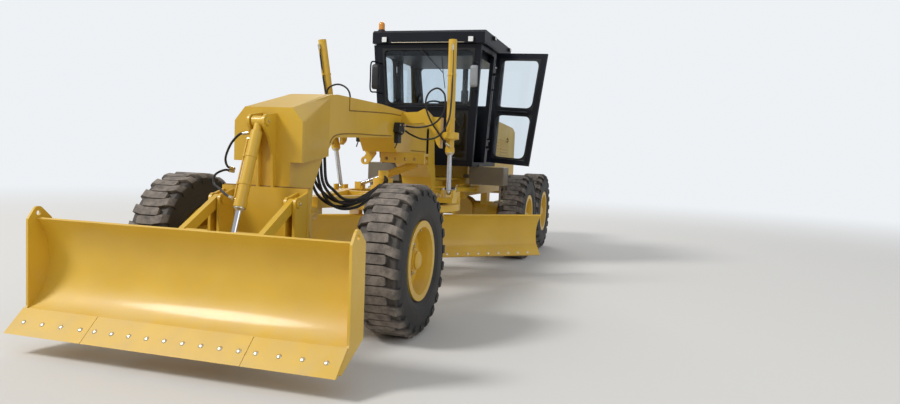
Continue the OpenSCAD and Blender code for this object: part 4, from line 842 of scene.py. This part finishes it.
def makeSeals(setup):
    seal = lambda hole, plane, band: paneSeal(setup[hole], setup["width"], setup["corner"], plane, *setup[band])
    parts = [onFront(seal("front", "y", "band")), onFront(mirrored(seal("foot", "y", "band"))),
        seal("back", "y", "backBand")]
    parts += [onSide(seal("side", "x", "sideBand"), side) for side in (1, -1)]
    makePiece("cabSeals", parts, sealRubber, sharp=50)
    rear = setup["hingeY"]
    for sideName, side, angle in doorSides:
        panes = []
        for low, high in setup["doors"]:
            hole = [(frontLine(low) + 0.1, low), (rear, low), (rear, high), (frontLine(high) + 0.09, high)]
            band = paneSeal(hole, setup["width"], setup["doorCorner"], "x", *setup["doorBand"])
            panes.append(onDoor(band, side, angle))
        makePiece("doorSeals_" + sideName, panes, sealRubber, "door_" + sideName, sharp=50)


makeSeals(seals)

# Door handles and inner pull bars: a bar's two distances from the door, and its radius
doorWork = {"height": 0.78, "plate": (0.022, 0.09), "grip": 0.008, "barHeight": 0.865,
    "left": (-0.03, -0.036, 0.011), "right": (-0.02, -0.024, 0.009)}


def makeDoorWork(setup):
    h, (wide, tall), z = setup["height"], setup["plate"], setup["barHeight"]
    y = frontLine(h) + 0.062
    plate = slab(roundedCorners(rect(y - wide, h - tall, y + wide, h + tall), 0.015, 4), "x", 0.045, 0.056)
    grip = hose([(0.05, y, h - 0.07), (0.078, y, h - 0.062), (0.084, y, h), (0.078, y, h + 0.062), (0.05, y, h + 0.07)],
        setup["grip"])
    for sideName, side, angle in doorSides:
        near, far, radius = setup[sideName]
        bar = hose([(0.008, 4.54, z - 0.005), (near, 4.53, z - 0.003), (far, 4.5, z), (far, 4.2, z), (far, 4.06, z),
            (near, 4.03, z), (0.008, 4.02, z)], radius)
        makePiece("doorHandles_" + sideName, [onDoor(part, side, angle) for part in (plate, grip, bar)], blackPlastic,
            "door_" + sideName, bevel=0.003)


makeDoorWork(doorWork)


def stepped(outline, middle, levels, plane="z"):
    # middle + (outline - middle) * scale at each level
    return tubeGrid(np.stack([atLevel(middle + (outline - middle) * scale, level, plane) for level, scale in levels]))


# Mirrors on bent tube arms: across, height, the arm's radius and how far outside the mirror it passes
mirrorSetup = {
    "left": ((0.7, 0.815), (2.575, 2.878), 0.0085, 0.004), "right": ((-0.765, -0.655), (2.53, 2.89), 0.011, 0.022),
    "shell": ((3.552, 0.7), (3.556, 0.86), (3.57, 0.97), (3.585, 1.0), (3.598, 1.0)), "face": (3.5975, 3.5995),
    "root": 0.72, "over": 0.035}


def makeMirrors(setup):
    shells, faces, arms = [], [], []
    for sideName, side in bothSides:
        (x0, x1), (z0, z1), radius, clear = setup[sideName]
        outline = roundedCorners(rect(x0, z0, x1, z1), 0.035, 6)
        middle = np.array([(x0 + x1) / 2, (z0 + z1) / 2])
        shells.append(stepped(outline, middle, setup["shell"], "y"))
        faces.append(slab(middle + (outline - middle) * 0.92, "y", *setup["face"]))
        # the arm leaves the pillar, goes round the mirror's outer edge and comes back below it
        root, outer = side * setup["root"], side * (max(abs(x0), abs(x1)) + clear)
        low, high = z0 - setup["over"], z1 + setup["over"]
        arms.append(hose([(root, 3.83, high), (root, 3.72, high), (root + side * 0.01, 3.63, high),
            (outer - side * 0.02, 3.585, high), (outer, 3.578, high - 0.05), (outer, 3.578, (low + high) / 2),
            (outer, 3.578, low + 0.05), (outer - side * 0.02, 3.585, low), (root + side * 0.01, 3.63, low),
            (root, 3.72, low), (root, 3.83, low)], radius))
    makePiece("mirrorShellRight", shells[1:], blackPlastic, replaces=("cab_mirrors",))
    makePiece("mirrorShellLeft", shells[:1], greyPlastic)
    makePiece("mirrorFaces", faces, mirrorGlass)
    makePiece("mirrorArms", arms, cabEnamel)


makeMirrors(mirrorSetup)

# Beacon with a fluted lens, work lamps and side lamps
lampSetup = {"beacon": (-0.76, 3.88, 3.4), "flutes": 24, "fluteDepth": 0.025, "flutesTo": 3.52,
    "work": ((0.65, 3.26), (-0.65, 3.26)), "side": (4.29, 5.37), "sideZ": 3.36}


def makeLamps(setup):
    place, flutes = setup["beacon"], setup["flutes"]
    base = turned([(0.054, 0.0), (0.054, 0.012), (0.05, 0.026), (0.046, 0.032)], place, sides=36)
    makePiece("beaconBase", [base], blackPlastic, replaces=("cab_lamps",))
    dome = turned([(0.043, 0.03), (0.043, 0.1), (0.042, 0.115), (0.037, 0.13), (0.028, 0.141), (0.012, 0.148),
        (0.004, 0.149)], place, sides=flutes * 4)
    flat, height = dome[0][:, :2] - place[:2], dome[0][:, 2:]
    # the radius times 1 + depth * cos(flutes * angle) below the crown
    wave = np.cos(flutes * np.arctan2(flat[:, 1], flat[:, 0]))[:, None]
    dome[0][:, :2] += flat * (setup["fluteDepth"] * wave) * (height < setup["flutesTo"])
    makePiece("beaconLens", [dome], amberLens)
    cases, lenses = [], []
    for x, z in setup["work"]:
        ring = roundedCorners(rect(x - 0.04, z - 0.04, x + 0.04, z + 0.04), 0.012, 5)
        cases += [slab(ring, "y", 3.722, 3.75), block((x - 0.006, 3.735, z + 0.03), (x + 0.006, 3.749, z + 0.052))]
        lenses.append(slab((ring - (x, z)) * 0.9 + (x, z), "y", 3.714, 3.7215))
    z = setup["sideZ"]
    for y in setup["side"]:
        for side in (1, -1):
            ring = roundedCorners(rect(y - 0.04, z - 0.028, y + 0.04, z + 0.028), 0.012, 5)
            cases.append(slab(ring, "x", side * 0.8453, side * 0.876))
            lenses.append(slab((ring - (y, z)) * 0.86 + (y, z), "x", side * 0.8765, side * 0.884))
    makePiece("lampCases", cases, blackPlastic, bevel=0.003)
    makePiece("lampLenses", lenses, clearLens, bevel=0.003)


makeLamps(lampSetup)

# Wiper, grab rails, a bright rail under the visor that paints a highlight, and the roof's gutter and hatch
cabTrim = {"wiperPivot": (-0.1, 1.66), "wiperTip": (0.24, 1.33), "rail": 0.013, "railY": 4.668, "frontRail": 0.011,
    "visor": (3.7475, 3.222), "gutter": (0.8435, 3.235), "hatchMiddle": (0, 4.6), "hatch": rect(-0.3, 4.35, 0.3, 4.85),
    "hatchLevels": ((3.399, 1.0), (3.418, 1.0), (3.43, 0.95), (3.432, 0.5))}


def makeCabTrim(setup):
    (px, ph), (tx, th) = setup["wiperPivot"], setup["wiperTip"]
    wiper = [turned([(0.022, 0), (0.022, 0.02), (0.014, 0.026)], (px, 0.004, ph), (0, -1, 0), 20),
        hose([(px, -0.018, ph), ((px + tx) / 2, -0.022, (ph + th) / 2), (tx, -0.012, th)], 0.006),
        hose([(tx - 0.03, -0.008, th + 0.26), (tx, -0.012, th), (tx + 0.03, -0.008, th - 0.22)], 0.005)]
    makePiece("wiper", [onFront(part) for part in wiper], blackPlastic)
    bow = ((-0.01, 0.42), (0.035, 0.43), (0.05, 0.5), (0.05, 0.8), (0.05, 1.1), (0.035, 1.17), (-0.01, 1.18))
    rails = [onSide(hose([(out, setup["railY"], h) for out, h in bow], setup["rail"]), side) for side in (1, -1)]
    bow = ((-0.6, -0.018), (-0.56, -0.028), (0.0, -0.03), (0.56, -0.028), (0.6, -0.018))
    rails.append(onFront(hose([(x, out, 0.845) for x, out in bow], setup["frontRail"])))
    makePiece("grabRails", rails, cabEnamel)
    # a thin bright zinc rod under the roof's front edge: painted highlight, for the line of reflection along that edge
    makePiece("visorRailPaintedHighlight", [hose([(x, *setup["visor"]) for x in (-0.55, 0.0, 0.55)], 0.0045)], zincSteel)
    gutterX, gutterZ = setup["gutter"]
    gutter = hose([(gutterX, y, gutterZ) for y in (3.76, 4.6, 5.54)], 0.007, 8, 8)
    hatch = stepped(roundedCorners(setup["hatch"], 0.06, 6), setup["hatchMiddle"], setup["hatchLevels"])
    makePiece("roofTrim", [mirrored(gutter), hatch], cabEnamel)


makeCabTrim(cabTrim)
print("cab outside")

# Seat: base with bellows, sewn cushion, back with side bolsters, arm rests
seatSetup = {"floor": 1.5205, "y": 4.71, "cushion": ((-0.24, 4.5, 1.815), (0.24, 4.97, 1.945)),
    "back": ((-0.23, 0.0, 0.0), (0.23, 0.105, 0.6)), "lean": math.radians(-12), "backFoot": (0, 4.9, 1.915),
    "pitch": 0.085, "depth": 0.006, "sewnHalf": 0.15, "dish": 0.012}


def channels(along, across, setup):
    # sewn channels: depth * (|sin(pi * place / pitch)| ** 0.35 - 1), between the bolsters
    wave = np.abs(np.sin(along * math.pi / setup["pitch"])) ** 0.35 - 1
    return setup["depth"] * wave * (np.abs(across) < setup["sewnHalf"])


def makeSeat(setup):
    folds = [(0.15 if k % 2 else 0.17, 0.02 + 0.028 * k) for k in range(10)]
    arm = [(0.225, 4.95, 1.93), (0.24, 4.95, 2.05), (0.24, 4.9, 2.1), (0.24, 4.78, 2.105), (0.24, 4.65, 2.105)]
    base = [turned([(0.17, 0.0), (0.17, 0.012)] + folds, (0, setup["y"], setup["floor"]), sides=40),
        block((-0.21, 4.55, 1.8), (0.21, 4.93, 1.822)), mirrored(hose(arm, 0.016))]
    makePiece("seatBase", base, blackPlastic, replaces=("cab_seat",))
    cushion = softBox(*setup["cushion"], corner=0.3, sidesU=80, sidesV=40)
    x, y, z = cushion[0].T
    # the top sinks in the middle: dish * (1 - (x / half width) ** 4)
    sunk = setup["dish"] * (1 - (x / setup["cushion"][1][0]) ** 4)
    z += np.clip((z - 1.88) / 0.06, 0, 1) * (channels(y, x, setup) - sunk)
    back = softBox(*setup["back"], corner=0.32, sidesU=80, sidesV=60)
    x, y, z = back[0].T
    y -= np.clip((0.05 - y) / 0.05, 0, 1) * channels(z, x, setup)
    back = leant(back, setup["lean"], setup["backFoot"])
    seat = makePiece("seatCushions", [cushion, back], seatCloth, sharp=80)


makeSeat(seatSetup)

# Console: column, wheel with spokes, lever banks and dials
consoleSetup = {"centre": (0.0, 4.3, 2.32), "lean": math.radians(-35), "rim": 0.176, "grip": 0.0135, "half": 0.148,
    "levers": (-0.128, -0.108, -0.088, 0.088, 0.108, 0.128), "dials": (-0.045, 0.045)}


def makeConsole(setup):
    spokes = ((0.02, -0.01), (0.1, -0.014), (setup["rim"], 0))
    wheel = [ringTube((0, 0, 0), setup["rim"], setup["grip"], 72, 12),
        turned([(0.05, -0.02), (0.055, 0.0), (0.045, 0.014), (0.012, 0.018)], sides=32)]
    wheel += [hose([(r * math.cos(a), r * math.sin(a), z) for r, z in spokes], 0.009)
        for a in (math.pi / 2 + k * 2 * math.pi / 3 for k in range(3))]
    wheel += [turned([(0.03, -0.16), (0.028, -0.02), (0.02, -0.012)])]
    shape = roundedCorners([(4.085, 1.5205), (4.28, 1.5205), (4.328, 2.17), (4.2, 2.245), (4.085, 2.17)], 0.03, 5)
    post = slab(shape, "x", -setup["half"], setup["half"])
    makePiece("steeringColumn", [leant(part, setup["lean"], setup["centre"]) for part in wheel] + [post], blackPlastic,
        bevel=0.004, replaces=("cab_console",))
    levers = []
    for x in setup["levers"]:
        levers += [hose([(x, 4.25, 2.2), (x * 1.15, 4.262, 2.28), (x * 1.25, 4.285, 2.35)], 0.004, 5, 8),
            turned([(0.007, -0.02), (0.0095, -0.01), (0.0095, 0.012), (0.005, 0.018)], (x * 1.25, 4.285, 2.35),
                (0, 0.3, 1), 14)]
    dials = [turned([(0.028, -0.004), (0.028, 0.004), (0.024, 0.006)], (x, 4.24, 2.232), (0, 0.5, 1))
        for x in setup["dials"]]
    makePiece("controlLevers", levers + dials, sealRubber)


makeConsole(consoleSetup)
print("cab inside")

# Hood: louvre banks, door seams, latches, rear lamps, exhaust bands and guard, filler caps
hoodWork = {"half": 0.5, "louvreY": (5.95, 6.55), "louvreZ": 1.55, "pitch": 0.055, "louvres": 8, "banks": (0.0, 0.68),
    "seams": (5.85, 7.33), "latchY": (5.6, 7.2), "latchZ": (1.4, 1.95), "tail": (0.4, 1.84, 0.47, 2.02),
    "red": (0.408, 1.848, 0.462, 1.93), "amber": (0.408, 1.936, 0.462, 2.012), "stack": (-0.23, 6.7),
    "bands": ((3.25, 0.0475, 0.0045), (2.9, 0.05, 0.006), (2.3, 0.054, 0.012)), "caps": ((5.62, 2.2926), (7.5, 2.2184))}


def makeHoodWork(setup):
    half = setup["half"]
    blade = [(half - 0.001, 0.0), (half + 0.016, 0.006), (half + 0.016, 0.012), (half - 0.001, 0.034)]
    blade = slab(blade, "y", *setup["louvreY"])
    heights = [setup["louvreZ"] + k * setup["pitch"] for k in range(setup["louvres"])]
    banks = [mirrored(copies(blade, [(0, shift, z) for z in heights])) for shift in setup["banks"]]
    seams = [mirrored(hose([(half, y, z) for z in (1.3, 1.7, 2.15)], 0.0035, 6, 6)) for y in setup["seams"]]
    makePiece("hoodLouvres", banks + seams, enamelYellow, bevel=0.0015)
    latch = slab(roundedCorners(rect(-0.02, -0.045, 0.02, 0.045), 0.01, 4), "x", half - 0.001, half + 0.008)
    grip = ((0.006, -0.03), (0.022, -0.025), (0.024, 0.0), (0.022, 0.025), (0.006, 0.03))
    grip = hose([(half + out, 0, z) for out, z in grip], 0.005, 5, 8)
    spots = [(0, y, z) for y in setup["latchY"] for z in setup["latchZ"]]
    makePiece("hoodLatches", [mirrored(copies(part, spots)) for part in (latch, grip)], blackPlastic, bevel=0.002)
    tail = slab(roundedCorners(rect(*setup["tail"]), 0.014, 5), "y", 7.99, 8.012)
    makePiece("tailCases", [mirrored(tail)], blackPlastic, bevel=0.002)
    for name, key, lens in (("tailLenses", "red", redLens), ("turnLenses", "amber", amberLens)):
        flat = roundedCorners(rect(*setup[key]), 0.01, 4)
        makePiece(name, [mirrored(slab(flat, "y", 8.011, 8.024))], lens, bevel=0.003)
    x, y = setup["stack"]
    stack = [ringTube((x, y, z), radius, thick, 40, 8) for z, radius, thick in setup["bands"]]
    stack += [turned([(0.051, 2.4), (0.068, 2.42), (0.068, 2.82), (0.051, 2.84)], (x, y, 0), sides=40, ring=True)]
    makePiece("stackShield", stack, blackSteel)
    cap = [(0.05, -0.012), (0.05, 0.022), (0.044, 0.03), (0.014, 0.032)]
    makePiece("fillerCaps", [turned(cap, (0.25, y, z), (0, 0.03, 1), 32) for y, z in setup["caps"]], blackPlastic)


makeHoodWork(hoodWork)

# Steps and tanks: tread strips with grip bars, seams and filler caps
tankWork = {"tread": (0.965, 1.07), "treadY": (4.33, 4.61), "levels": (0.963, 1.465), "bars": 5, "pitch": 0.023,
    "seamX": 1.0805, "cap": (0.7, 4.35, 1.4645)}


def makeTankWork(setup):
    (x0, x1), (y0, y1), levels = setup["tread"], setup["treadY"], setup["levels"]
    tooth = block((x0 + 0.002, y0 + 0.005, 0.0), (x0 + 0.012, y1 - 0.005, 0.009))
    treads = [copies(tooth, [(k * setup["pitch"], 0, z) for k in range(setup["bars"]) for z in levels]),
        copies(slab(rect(x0, 0.0, x1, 0.004), "y", y0, y1), [(0, 0, z - 0.001) for z in levels])]
    makePiece("stepTreads", [mirrored(*treads)], zincSteel)
    seams = [hose([(setup["seamX"], y, z) for z in (1.24, 1.34, 1.44)], 0.003, 5, 6) for y in (y0, y1)]
    cap = turned([(0.04, 0.0), (0.04, 0.026), (0.034, 0.034), (0.01, 0.036)], setup["cap"], sides=28)
    makePiece("tankTrim", [mirrored(*seams, cap)], tankEnamel)


makeTankWork(tankWork)
print("hood and tanks")

# Floor and world
floorSetup = {"half": 60.0, "colour": "#D9D7D3", "rough": 0.9, "fadeFrom": 8.0, "fadeTo": 22.0}
seenSky = (0.855, 0.883, 0.912, 1)


def makeFloor(setup):
    mesh = bpy.data.meshes.new("floor")
    mesh.from_pydata([(x, y, 0) for x, y in rect(*[way * setup["half"] for way in (-1, -1, 1, 1)])], [], [(0, 1, 2, 3)])
    floor = bpy.data.objects.new("floor", mesh)
    bpy.context.scene.collection.objects.link(floor)
    # pale matt floor paint
    constants = {"Base Color": linear(setup["colour"]), "Roughness": setup["rough"]}
    material, tree, shader, place = newMaterial("paleFloorPaint", constants)
    # far from the machine the camera sees the floor turn to the sky's own colour, so there is no horizon line
    fade = addNode(tree, "ShaderNodeMapRange", {"interpolation_type": "SMOOTHSTEP", "From Min": setup["fadeFrom"],
        "From Max": setup["fadeTo"]}, {"Value": (vectorMaths(tree, "LENGTH", place), "Value")})
    share = maths(tree, "MULTIPLY", fade, (addNode(tree, "ShaderNodeLightPath"), "Is Camera Ray"))
    glow = addNode(tree, "ShaderNodeEmission", {"Color": seenSky})
    mix = addNode(tree, "ShaderNodeMixShader", links={0: share, 1: shader, 2: glow})
    connect(tree, mix, next(node for node in tree.nodes if node.type == "OUTPUT_MATERIAL"), "Surface")
    mesh.materials.append(material)


makeFloor(floorSetup)

# the sky gives soft light, and the camera and the glass see it in a colour of its own
skySetup = {"light": (0.93, 0.96, 1.0, 1), "strength": 0.5}


def makeSky(setup):
    world = bpy.data.worlds.new("softSky")
    bpy.context.scene.world = world
    world.use_nodes = True
    tree = world.node_tree
    tree.nodes.clear()
    rays = addNode(tree, "ShaderNodeLightPath")
    light = addNode(tree, "ShaderNodeBackground", {"Color": setup["light"], "Strength": setup["strength"]})
    seen = addNode(tree, "ShaderNodeBackground", {"Color": seenSky, "Strength": 1.0})
    direct = maths(tree, "MAXIMUM", (rays, "Is Camera Ray"), (rays, "Is Transmission Ray"))
    mix = addNode(tree, "ShaderNodeMixShader", links={0: direct, 1: light, 2: seen})
    connect(tree, mix, addNode(tree, "ShaderNodeOutputWorld"), "Surface")


makeSky(skySetup)
bpy.context.scene.view_settings.view_transform = "Standard"

print("scene finished")
